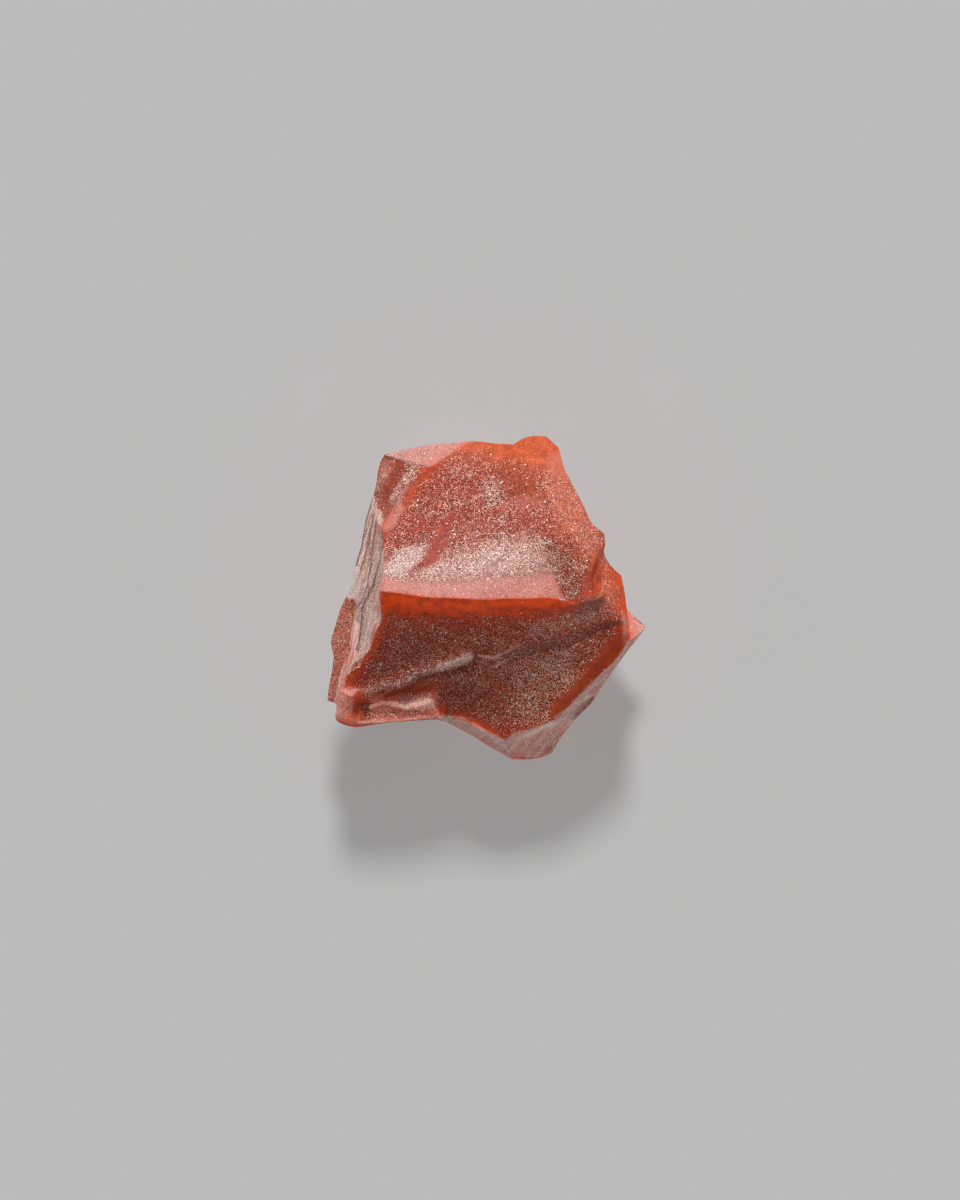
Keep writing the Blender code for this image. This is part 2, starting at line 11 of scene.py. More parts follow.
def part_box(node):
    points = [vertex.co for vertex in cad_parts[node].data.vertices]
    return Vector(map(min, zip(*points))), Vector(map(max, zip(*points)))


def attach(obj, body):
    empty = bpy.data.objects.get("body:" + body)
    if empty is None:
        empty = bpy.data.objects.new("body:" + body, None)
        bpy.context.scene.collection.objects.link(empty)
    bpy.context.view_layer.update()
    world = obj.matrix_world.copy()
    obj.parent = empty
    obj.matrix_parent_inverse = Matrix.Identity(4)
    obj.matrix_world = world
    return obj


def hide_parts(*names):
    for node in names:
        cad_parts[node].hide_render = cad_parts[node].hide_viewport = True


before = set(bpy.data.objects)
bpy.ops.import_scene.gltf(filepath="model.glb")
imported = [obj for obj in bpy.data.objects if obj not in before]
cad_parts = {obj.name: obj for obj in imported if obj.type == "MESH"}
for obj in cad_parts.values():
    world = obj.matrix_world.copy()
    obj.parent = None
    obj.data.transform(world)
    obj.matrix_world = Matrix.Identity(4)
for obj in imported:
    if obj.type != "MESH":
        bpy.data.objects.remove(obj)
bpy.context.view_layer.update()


# The lump of red jasper is one piece of fine quartz grains coloured by iron. It broke on every side
# into curved fracture faces, whose sharp edges let light through and glow orange.
MM = 0.001
stone_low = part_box("jasper_lump")[0]

MERGE_DISTANCE = 0.005 * MM
BROKEN_EDGE = math.radians(24)
STONE_SUBDIVISIONS = 2


def activate(piece):
    bpy.ops.object.select_all(action="DESELECT")
    piece.select_set(True)
    bpy.context.view_layer.objects.active = piece


def apply_modifier(piece, kind, **settings):
    activate(piece)
    modifier = piece.modifiers.new(kind.title(), kind)
    for name, value in settings.items():
        setattr(modifier, name, value)
    bpy.ops.object.modifier_apply(modifier=modifier.name)


rough_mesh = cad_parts["jasper_lump"].data.copy()
stone = bpy.data.objects.new("jasper_stone", rough_mesh)
bpy.context.scene.collection.objects.link(stone)
activate(stone)
bpy.ops.object.mode_set(mode="EDIT")
bpy.ops.mesh.select_all(action="SELECT")
bpy.ops.mesh.remove_doubles(threshold=MERGE_DISTANCE)
bpy.ops.mesh.customdata_custom_splitnormals_clear()
bpy.ops.mesh.select_mode(type="EDGE")
bpy.ops.mesh.select_all(action="DESELECT")
bpy.ops.mesh.edges_select_sharp(sharpness=BROKEN_EDGE)
bpy.ops.mesh.mark_sharp()
bpy.ops.object.mode_set(mode="OBJECT")

broken = np.zeros(len(stone.data.edges), bool)
stone.data.edges.foreach_get("use_edge_sharp", broken)
crease = stone.data.attributes.new("crease_edge", "FLOAT", "EDGE")
crease.data.foreach_set("value", broken.astype(np.float32))
apply_modifier(stone, "SUBSURF", levels=STONE_SUBDIVISIONS, render_levels=STONE_SUBDIVISIONS)
stone.data.shade_smooth()


# Painted glow: orange light that leaks out along the broken edges, at a sharp edge on both sides, and at
# any edge on the side that is turned further away from the light that falls on the other side. It goes
# into the colour as the glow tone.
RIM_REACH = 1.1 * MM
LEAK_REACH = 1.7 * MM
RIM_FROM_BEND = math.radians(50)
RIM_FULL_BEND = math.radians(115)
RIM_NEIGHBOURS = 5
BOTH_SIDES_SHARE = 0.25
DAYLIGHT = Vector((0.0, 0.6, 0.8))


def rim_values(piece):
    """For each point, how much light leaks out through the nearest broken edges."""
    mesh = bmesh.new()
    mesh.from_mesh(piece.data)
    marks = mesh.edges.layers.float["crease_edge"]
    edges = [e for e in mesh.edges if e[marks] > 0.5 and e.is_convex]
    tree = KDTree(len(edges))
    sides = []
    for index, edge in enumerate(edges):
        tree.insert((edge.verts[0].co + edge.verts[1].co) / 2, index)
        share = (edge.calc_face_angle() - RIM_FROM_BEND) / (RIM_FULL_BEND - RIM_FROM_BEND)
        first, second = (face.normal.copy() for face in edge.link_faces)
        sides.append((min(1.0, max(0.0, share)), first, second))
    tree.balance()
    values = []
    for vertex in mesh.verts:
        best = 0.0
        for _, index, distance in tree.find_n(vertex.co, RIM_NEIGHBOURS):
            share, own, across = sides[index]
            if vertex.normal.dot(across) > vertex.normal.dot(own):
                own, across = across, own
            leak = max(0.0, across.dot(DAYLIGHT)) - max(0.0, own.dot(DAYLIGHT))
            best = max(best, BOTH_SIDES_SHARE * share * math.exp(-distance / RIM_REACH),
                       leak * math.exp(-distance / LEAK_REACH))
        values.append(best)
    mesh.free()
    return values


rim = stone.data.attributes.new("rim", "FLOAT", "POINT")
rim.data.foreach_set("value", rim_values(stone))

# Places in plan where the fracture did something of its own, as lines and outlines in millimetres
CREST = [(-20.5, -14.8), (-16.8, -13.5), (-13.0, -12.7), (-10.0, -11.1), (-7.0, -10.3), (-4.8, -9.6),
         (-2.4, -8.5)]
CREST_FOOT = [(-15.3, -14.8), (-11.5, -13.5), (-9.7, -11.8), (-7.0, -11.4), (-4.8, -10.9), (-2.2, -10.0)]
CREST_END = [(-1.9, -8.1), (-1.9, -10.6)]
CURL_ABOVE = [(-1.2, -8.7), (1.1, -8.9), (2.7, -8.2), (4.8, -7.0)]
CURL_BELOW = [(-1.3, -9.4), (0.8, -10.2), (2.1, -9.7), (4.5, -8.1)]
FAINT_LEFT = [(4.8, -6.6), (6.6, -5.2)]
FAINT_RIGHT = [(7.8, -7.2), (11.3, -6.0)]
VALLEY = [(2.7, -8.7), (6.5, -7.8), (11.0, -6.7), (15.5, -5.2), (19.4, -3.3)]
SQUIGGLE = [(-5.7, -11.7), (-4.9, -12.3), (-4.2, -12.4)]
UNDER_CREST = [(-16.8, -14.4), (-13.0, -13.8), (-9.3, -12.6), (-7.0, -12.9), (-9.3, -14.4),
               (-13.8, -15.1)]
LIP_STREAK = [(-17.4, -16.2), (-15.6, -15.7), (-13.8, -15.9), (-12.3, -16.3), (-10.0, -15.9),
              (-8.6, -15.4)]
TIP_MIDDLE = [(-21.0, -14.9), (-21.2, -17.6)]
LIP_GRAINS = [(-12.3, -16.5), (-11.2, -15.3), (-8.1, -14.2), (-7.8, -15.7), (-7.6, -16.9), (-10.0, -16.6)]
LIP_SHADE = [(-16.8, -17.1), (-13.0, -17.1), (-8.8, -16.9)]
TIP_FOOT = [(-21.9, -17.7), (-21.0, -18.0), (-19.8, -18.4)]
LIP_RIM = [(-19.3, -18.7), (-16.8, -18.6), (-13.0, -18.4), (-7.6, -17.8)]
LIP_END = [(-8.1, -14.2), (-7.9, -15.6), (-7.0, -17.2)]
TIP_GROOVE = [(-19.3, -14.4), (-19.5, -16.2), (-19.8, -18.6)]
CREST_TOP = [(-7.0, -10.3), (-4.8, -9.6), (-2.4, -8.7)]
LOBE_SHADE = [(-20.2, -7.8), (-21.3, -11.5), (-22.0, -13.8)]
VALLEY_SHEEN = [(6.5, -5.1), (11.0, -4.2), (15.2, -3.0), (15.5, -2.1), (11.0, -3.0), (7.2, -3.9)]
LOWER_LEFT_RIM = [(-7.5, -17.1), (-4.8, -17.7), (-1.8, -19.0), (0.8, -21.0), (3.2, -21.6)]
LOWER_RIGHT_RIM = [(20.9, -6.6), (17.6, -10.8), (14.0, -15.3), (11.7, -17.2)]
BELLY_LINE = [(-7.0, -18.0), (-3.7, -18.1), (-1.0, -19.5), (1.7, -21.6), (3.5, -22.8)]
CHIP = [(11.9, -17.8), (14.0, -16.2), (15.9, -14.7), (16.5, -15.1), (15.2, -17.1), (12.8, -18.4)]
CHIP_LINE = [(10.4, -17.8), (12.5, -16.5), (15.2, -14.8)]
WING = [(20.7, -2.0), (24.0, -5.1), (22.1, -6.7), (21.0, -6.3)]
WING_RIM = [(23.9, -5.1), (22.1, -6.7), (20.0, -10.5), (17.4, -14.4)]
WALL_LEDGES = ([(-17.2, 14.7), (-18.1, 11.7), (-18.7, 8.0), (-19.6, 5.0)],
               [(-16.9, 12.5), (-17.4, 10.2), (-17.7, 8.3), (-18.4, 5.7), (-18.9, 3.8)],
               [(-16.6, 11.7), (-16.7, 9.9), (-17.2, 6.2), (-17.8, 2.3), (-18.6, -0.3), (-19.5, -1.5)],
               [(-15.4, 9.9), (-15.9, 5.7), (-16.9, 2.0), (-18.1, -0.3), (-18.7, -1.6)],
               [(-18.6, -1.2), (-19.0, -5.7), (-19.4, -7.8)])
WALL_GLINT = [(-19.5, 4.1), (-20.1, 2.6), (-20.5, 0.6)]
TIP_STRIP = [(-19.6, -4.1), (-20.1, -8.1), (-21.4, -11.1), (-22.3, -15.3), (-22.5, -17.7)]
TOP_TRIANGLE = [(-15.7, 21.6), (-7.2, 23.5), (-2.2, 23.9), (-8.8, 19.7), (-12.3, 20.4)]
TRIANGLE_FOOT = [(-14.7, 20.9), (-12.3, 20.4), (-8.8, 19.7)]
CORNER_POINT = [(-14.7, 21.2), (-15.4, 20.4), (-16.3, 18.9), (-16.2, 17.7), (-15.1, 18.5), (-14.2, 20.0)]
CORNER_DARK = [(-13.0, 20.1), (-14.2, 18.0), (-15.3, 15.0)]
CORNER_BAND = [(-10.6, 19.7), (-12.1, 17.4), (-13.6, 14.7)]
CORNER_PALE = [(-13.0, 13.5), (-14.5, 11.1), (-16.3, 10.2)]
TOP_RIM = [(-2.5, 23.4), (2.0, 22.2), (5.0, 23.0), (8.7, 23.7), (10.4, 21.9), (11.3, 19.5)]
BUMP = [(4.8, 22.6), (8.7, 23.0), (9.8, 21.5), (8.0, 20.4), (5.5, 21.0)]
CROWN_LEFT_RIM = [(-2.8, 23.4), (-7.0, 21.0), (-9.3, 18.5), (-12.3, 14.7), (-14.8, 11.0), (-15.4, 10.1)]
CROWN_RIGHT_RIM = [(11.3, 19.5), (13.2, 15.9), (15.5, 12.0), (17.3, 9.9)]
BRIGHT_PATCH = [(-15.4, 4.8), (-13.9, 6.2), (-12.4, 7.4), (-9.0, 7.8), (-9.4, 6.3), (-11.2, 4.5),
                (-12.4, 2.9), (-13.9, 3.2), (-15.4, 3.6)]
RED_WEDGE = [(-4.8, 13.5), (-7.3, 10.2), (-8.1, 7.5), (-9.4, 5.3), (-10.9, 4.5), (-8.5, 4.8), (-7.0, 6.3),
             (-6.0, 8.7)]
SHEEN_BAND = [(-11.2, 2.7), (-8.5, 5.0), (-4.8, 6.3), (-1.0, 7.4), (2.7, 8.3), (5.7, 8.7), (6.9, 8.3),
              (8.6, 6.3), (9.6, 4.2), (6.5, 3.5), (2.7, 3.2), (-1.0, 2.9), (-5.5, 2.4)]
SMOOTH_BAND = [(-15.6, -0.3), (-15.6, 3.3), (-13.8, 3.0), (-11.2, 2.4), (-5.5, 2.3), (-1.0, 2.7),
               (6.5, 3.3), (9.8, 3.9), (11.3, -0.3), (6.5, -0.6), (-5.5, -0.3)]
GREY_DRIFT = [(0.2, 18.0), (2.0, 17.1), (2.6, 14.7), (0.5, 14.1), (-0.7, 15.9)]
PINK_STREAK = [(2.3, 13.7), (5.0, 14.6), (8.0, 14.4)]
RED_DRIFT = [(3.0, 19.5), (6.3, 19.0), (6.8, 16.5), (4.5, 15.0), (2.6, 16.6)]
BLUSH = [(10.4, 21.0), (12.2, 18.0), (13.7, 14.7), (15.8, 11.7), (17.3, 9.8), (15.8, 6.9), (13.4, 9.5),
         (11.6, 11.7), (10.4, 14.7), (9.2, 18.5)]
SOFT_STEP = [(-4.8, 13.2), (-7.0, 11.0), (-8.5, 8.0), (-9.4, 5.3)]
CROWN_CREASE = [(6.9, 8.7), (9.0, 5.7), (11.4, 0.8)]
DIM_SIDE = [(7.8, 8.8), (9.6, 8.0), (11.9, 6.3), (13.1, 3.5), (13.4, 0.2), (12.5, 0.0), (10.9, 2.7),
            (9.3, 6.0)]
LEFT_WALL = [(-17.5, 16.0), (-14.8, 10.1), (-15.2, 0.3), (-16.0, -4.0), (-18.0, -8.0), (-20.3, -10.0),
             (-22.7, -18.5), (-22.9, -18.5), (-22.2, -15.8), (-21.7, -11.6), (-20.2, -7.6), (-19.8, -4.1),
             (-19.4, -0.6), (-20.9, 1.0), (-19.5, 6.0)]
BELLY = [(-8.0, -18.0), (-2.5, -18.6), (0.8, -20.9), (2.7, -22.3), (4.2, -23.9), (-3.0, -21.0)]
CHIN = [(2.7, -22.5), (5.0, -20.5), (8.7, -19.0), (13.0, -17.7), (9.8, -23.5), (7.3, -23.3), (4.5, -23.0)]
CHIN_LINE = [(3.2, -23.1), (5.0, -21.0), (8.7, -19.3), (12.9, -17.7)]
CHIN_RIM = [(-4.5, -19.9), (-2.5, -21.0), (0.2, -22.6), (2.0, -23.5), (5.0, -24.3), (7.4, -24.6),
            (9.2, -23.8)]
FLANK = [(10.4, -18.3), (13.0, -16.0), (21.4, -6.3), (22.0, -6.7), (17.0, -14.8), (12.9, -17.9)]
TIP_FACE = [(-22.3, -13.8), (-19.3, -13.8), (-19.5, -18.6), (-22.5, -18.0)]
LOBE = [(-21.1, -0.3), (-20.2, -1.8), (-20.2, -7.8), (-21.3, -11.5), (-22.2, -16.0), (-23.5, -15.7),
        (-23.4, -7.0), (-22.3, -3.3)]
SHOULDER = [(17.3, 6.0), (19.6, 4.2), (20.9, 0.5), (20.6, -2.2), (18.6, -1.2), (17.6, 1.5)]
HOLLOW = [(-15.0, -0.6), (9.0, -1.0), (16.0, -2.6), (18.0, -6.0), (8.0, -16.5), (2.0, -18.5),
          (-6.5, -15.5), (-8.5, -14.0), (-17.5, -13.8), (-20.0, -14.5), (-18.5, -11.0), (-15.0, -6.0)]
LIP_FRONT = [(-17.2, -15.2), (-7.5, -14.2), (-7.4, -17.7), (-17.2, -18.6)]
UPPER_HOLLOW = [(-13.0, -2.5), (8.0, -2.5), (6.0, -5.0), (-2.0, -7.0), (-12.0, -9.0)]
LOWER_SHEEN = [(4.0, -10.0), (12.0, -9.0), (13.0, -13.0), (9.0, -17.0), (5.0, -16.0)]
RIDGE = [(-15.4, -0.3), (-12.0, -0.6), (-5.5, -1.0), (1.0, -0.9), (7.0, -0.6), (11.5, -0.2)]
HOLLOW_LEFT_RIM = [(-15.6, 0.3), (-15.7, -3.3), (-16.9, -6.3), (-17.8, -8.5), (-20.5, -11.8),
                   (-21.3, -13.8)]
RIGHT_RIM = [(19.7, 4.0), (20.6, 0.0), (21.0, -3.0), (21.6, -6.0)]
STEP_FACET = [(17.1, 7.7), (15.8, 5.7), (14.9, 3.3), (14.4, 0.2), (15.8, -0.1), (17.0, 1.7), (16.5, 3.6),
              (16.7, 5.7)]
STEP_LEDGE = [(17.3, 8.3), (15.6, 5.9), (14.6, 3.3), (14.0, 0.9)]
STEP_PIT = [(16.4, 3.2), (17.4, 4.1), (18.0, 2.7), (17.4, 1.5), (16.5, 1.7)]
LEAF = [(11.9, -1.2), (14.0, -0.4), (17.0, 0.2), (17.9, -0.3), (17.3, -1.5), (15.5, -2.1), (13.2, -2.7)]
LEAF_LINE = [(11.0, -0.3), (13.2, -0.8), (17.0, 0.2)]


def soften(values, start, end):
    """0 at the start value, 1 at the end value, with a smooth change between them."""
    share = np.clip((values - start) / (end - start), 0.0, 1.0)
    return share * share * (3 - 2 * share)


class Surface:
    """The points of a piece, with the distances in plan to lines and outlines in millimetres."""

    def __init__(self, piece):
        count = len(piece.data.vertices)
        places = np.empty(3 * count, np.float32)
        normals = np.empty(3 * count, np.float32)
        piece.data.vertices.foreach_get("co", places)
        piece.data.vertex_normals.foreach_get("vector", normals)
        self.places = places.reshape(-1, 3).astype(float)
        self.normals = normals.reshape(-1, 3).astype(float)
        self.plan = self.places[:, :2] / MM

    def facing(self, towards, start, change=0.15):
        """1 where the surface looks that way, and 0 where it looks down, under all that is in plan."""
        upper = soften(self.normals[:, 2], *UPPER_FACES)
        return upper * soften(self.normals @ np.array(towards), start, start + change)

    def line(self, points):
        """Distance to a line, and 1 on its left or -1 on its right."""
        nearest = np.full(len(self.plan), np.inf)
        side = np.ones(len(self.plan))
        for start, end in zip(np.array(points[:-1]), np.array(points[1:])):
            run = end - start
            share = np.clip((self.plan - start) @ run / (run @ run), 0.0, 1.0)
            gap = self.plan - start - share[:, None] * run
            distance = np.hypot(gap[:, 0], gap[:, 1])
            closer = distance < nearest
            nearest[closer] = distance[closer]
            side[closer] = np.where(run[0] * gap[:, 1] > run[1] * gap[:, 0], 1.0, -1.0)[closer]
        return nearest, side

    def outline(self, points):
        """Distance to a closed outline, less than 0 inside it."""
        inside = np.zeros(len(self.plan), bool)
        x, y = self.plan[:, 0], self.plan[:, 1]
        for (x0, y0), (x1, y1) in zip(points, points[1:] + points[:1]):
            if y0 != y1:
                crosses = ((y0 > y) != (y1 > y)) & (x < (x1 - x0) * (y - y0) / (y1 - y0) + x0)
                inside ^= crosses
        distance = self.line(points + points[:1])[0]
        return np.where(inside, -distance, distance)


# Ways that a face can look: the direction, and how closely a face has to look that way. All but the
# upper faces lie under what is drawn in plan, and carry none of it.
UP = ((0.0, 0.0, 1.0), 0.15)
NORTH = ((0.0, 1.0, 0.0), -0.12)
SOUTH = ((0.0, -1.0, 0.0), 0.10)
WEST = ((-1.0, 0.0, 0.0), 0.45)
ANY = ((0.0, 0.0, 1.0), -1.2)
STEEP = ((0.0, 0.0, -1.0), -0.93)
INWARD = ((-0.3, -0.2, 0.93), 0.72)
UPPER_FACES = (-0.12, 0.05)

# Each row: the line, how far its shape reaches on each side, its height or depth, and the way that
# its faces look. A ledge of the wall stands higher on the left of its line. A hollow has an outline,
# a depth, and the width of its sloping edge.
RIDGES = ((CREST, 1.0, 0.30, SOUTH), (CURL_ABOVE, 0.32, 0.24, SOUTH), (CURL_BELOW, 0.28, 0.16, SOUTH),
          (FAINT_LEFT, 0.35, 0.10, SOUTH), (FAINT_RIGHT, 0.40, 0.10, SOUTH),
          (SQUIGGLE, 0.25, 0.10, SOUTH), (LIP_STREAK, 0.9, 0.55, UP), (TIP_MIDDLE, 1.1, 0.5, UP),
          (LIP_RIM, 0.30, 0.12, UP), (BELLY_LINE, 0.30, 0.25, UP), (CHIN_LINE, 0.30, 0.20, UP),
          (CHIP_LINE, 0.30, 0.12, UP), (LEAF_LINE, 0.25, 0.14, SOUTH), (TIP_STRIP, 0.35, 0.25, UP),
          (STEP_LEDGE, 0.25, 0.07, UP))
GROOVES = ((CREST_FOOT, 0.40, 0.55, SOUTH), (CREST_END, 0.35, 0.35, SOUTH), (VALLEY, 1.2, 0.22, SOUTH),
           (LIP_END, 0.35, 0.25, UP), (TIP_GROOVE, 0.55, 0.12, UP), (SOFT_STEP, 0.9, 0.12, NORTH),
           (TRIANGLE_FOOT, 0.25, 0.08, UP), (CROWN_CREASE, 0.7, 0.12, UP))
STEP_CHANGE = 0.10
WALL_STEP = 0.20
WALL_REACH = 0.9
HOLLOWS = ((CHIP, 0.36, 0.25), (STEP_PIT, 0.20, 0.30))
FINE_REACH = 0.9
LOOKS_THAT_WAY = 0.3
FINE_SMOOTHNESS = 0.6


def close_to_detail(surface):
    """Which points lie near a shape that is too fine for the mesh as it is."""
    near = np.zeros(len(surface.plan), bool)
    for line, reach, _, way in RIDGES + GROOVES:
        near |= (surface.line(line)[0] < FINE_REACH) & (surface.facing(*way) > LOOKS_THAT_WAY)
    for line in WALL_LEDGES:
        near |= (surface.line(line)[0] < FINE_REACH / 2) & (surface.facing(*WEST) > LOOKS_THAT_WAY)
    for outline, _, _ in HOLLOWS:
        near |= (surface.outline(outline) < FINE_REACH / 2) & (surface.facing(*UP) > LOOKS_THAT_WAY)
    return near


def relief(surface):
    """How far each point moves outward, in millimetres."""
    move = np.zeros(len(surface.plan))
    for line, reach, height, way in RIDGES:
        move += height * np.exp(-(surface.line(line)[0] / reach) ** 2) * surface.facing(*way)
    for line, reach, depth, way in GROOVES:
        move -= depth * np.exp(-(surface.line(line)[0] / reach) ** 2) * surface.facing(*way)
    for line in WALL_LEDGES:
        distance, side = surface.line(line)
        step = soften(distance * side, -STEP_CHANGE, STEP_CHANGE) * np.exp(-distance / WALL_REACH)
        move += WALL_STEP * step * surface.facing(*WEST)
    for outline, depth, change in HOLLOWS:
        move -= depth * (1 - soften(surface.outline(outline), -change, 0.0)) * surface.facing(*UP)
    return move


detail = close_to_detail(Surface(stone))
faces_near = np.array([detail[list(face.vertices)].all() for face in stone.data.polygons])
stone.data.polygons.foreach_set("select", faces_near)
activate(stone)
bpy.ops.object.mode_set(mode="EDIT")
bpy.ops.mesh.select_mode(type="FACE")
bpy.ops.mesh.subdivide(number_cuts=1, smoothness=FINE_SMOOTHNESS)
bpy.ops.object.mode_set(mode="OBJECT")
stone.data.shade_smooth()
surface = Surface(stone)
moved = surface.places + relief(surface)[:, None] * MM * surface.normals
stone.data.vertices.foreach_set("co", moved.astype(np.float32).ravel())
stone.data.update()

# The break left fine waves and a rough grain on every face but the one that the stone rests on
BREAK_WAVES = ((1.6 * MM, 0.09 * MM), (0.5 * MM, 0.035 * MM))
REST_FACING = -0.95
REST_HEIGHT = 0.02 * MM
rough_part = stone.vertex_groups.new(name="broken_faces")
rests = (surface.normals[:, 2] < REST_FACING) & (moved[:, 2] < REST_HEIGHT)
rough_part.add(np.flatnonzero(~rests).tolist(), 1.0, "REPLACE")
for number, (size, height) in enumerate(BREAK_WAVES):
    clouds = bpy.data.textures.new("waves_%d" % number, "CLOUDS")
    clouds.noise_scale = size
    clouds.noise_depth = 1
    apply_modifier(stone, "DISPLACE", texture=clouds, strength=height, mid_level=0.5,
                   vertex_group="broken_faces")

# No wave dips below the face that the stone rests on
for vertex in stone.data.vertices:
    vertex.co.z = max(vertex.co.z, stone_low.z)

# Light that has come through thin stone near the broken edges, painted into the colour as its glow
GLOW_DEPTH = 1.6 * MM
GLOW_CONE = math.radians(70)
GLOW_RAYS = 12
START_INSIDE = 0.05 * MM
THIN_RANGE = (0.15, 0.8)


def ray_fan():
    """Unit vectors spread evenly over a cone about +Z."""
    fan = []
    for ray in range(GLOW_RAYS):
        tilt = GLOW_CONE * math.sqrt((ray + 0.5) / GLOW_RAYS)
        turn = ray * math.pi * (3 - math.sqrt(5))
        fan.append(Vector((math.sin(tilt) * math.cos(turn), math.sin(tilt) * math.sin(turn),
                           math.cos(tilt))))
    return fan


def glow_values(mesh):
    """For each point, how thin the stone is behind it: 0 where it is deep, near 1 at a thin edge."""
    tree = BVHTree.FromPolygons([v.co for v in mesh.vertices], [p.vertices for p in mesh.polygons])
    fan = ray_fan()
    values = []
    for vertex in mesh.vertices:
        inward = -vertex.normal
        turn = inward.to_track_quat("Z", "Y")
        start = vertex.co + inward * START_INSIDE
        total = 0.0
        for ray in fan:
            hit = tree.ray_cast(start, turn @ ray)
            if hit[3] is not None:
                total += math.exp(-hit[3] / GLOW_DEPTH)
        values.append(total / len(fan))
    return values


thin = np.array(glow_values(stone.data))
rim_light = np.empty(len(thin), np.float32)
stone.data.attributes["rim"].data.foreach_get("value", rim_light)
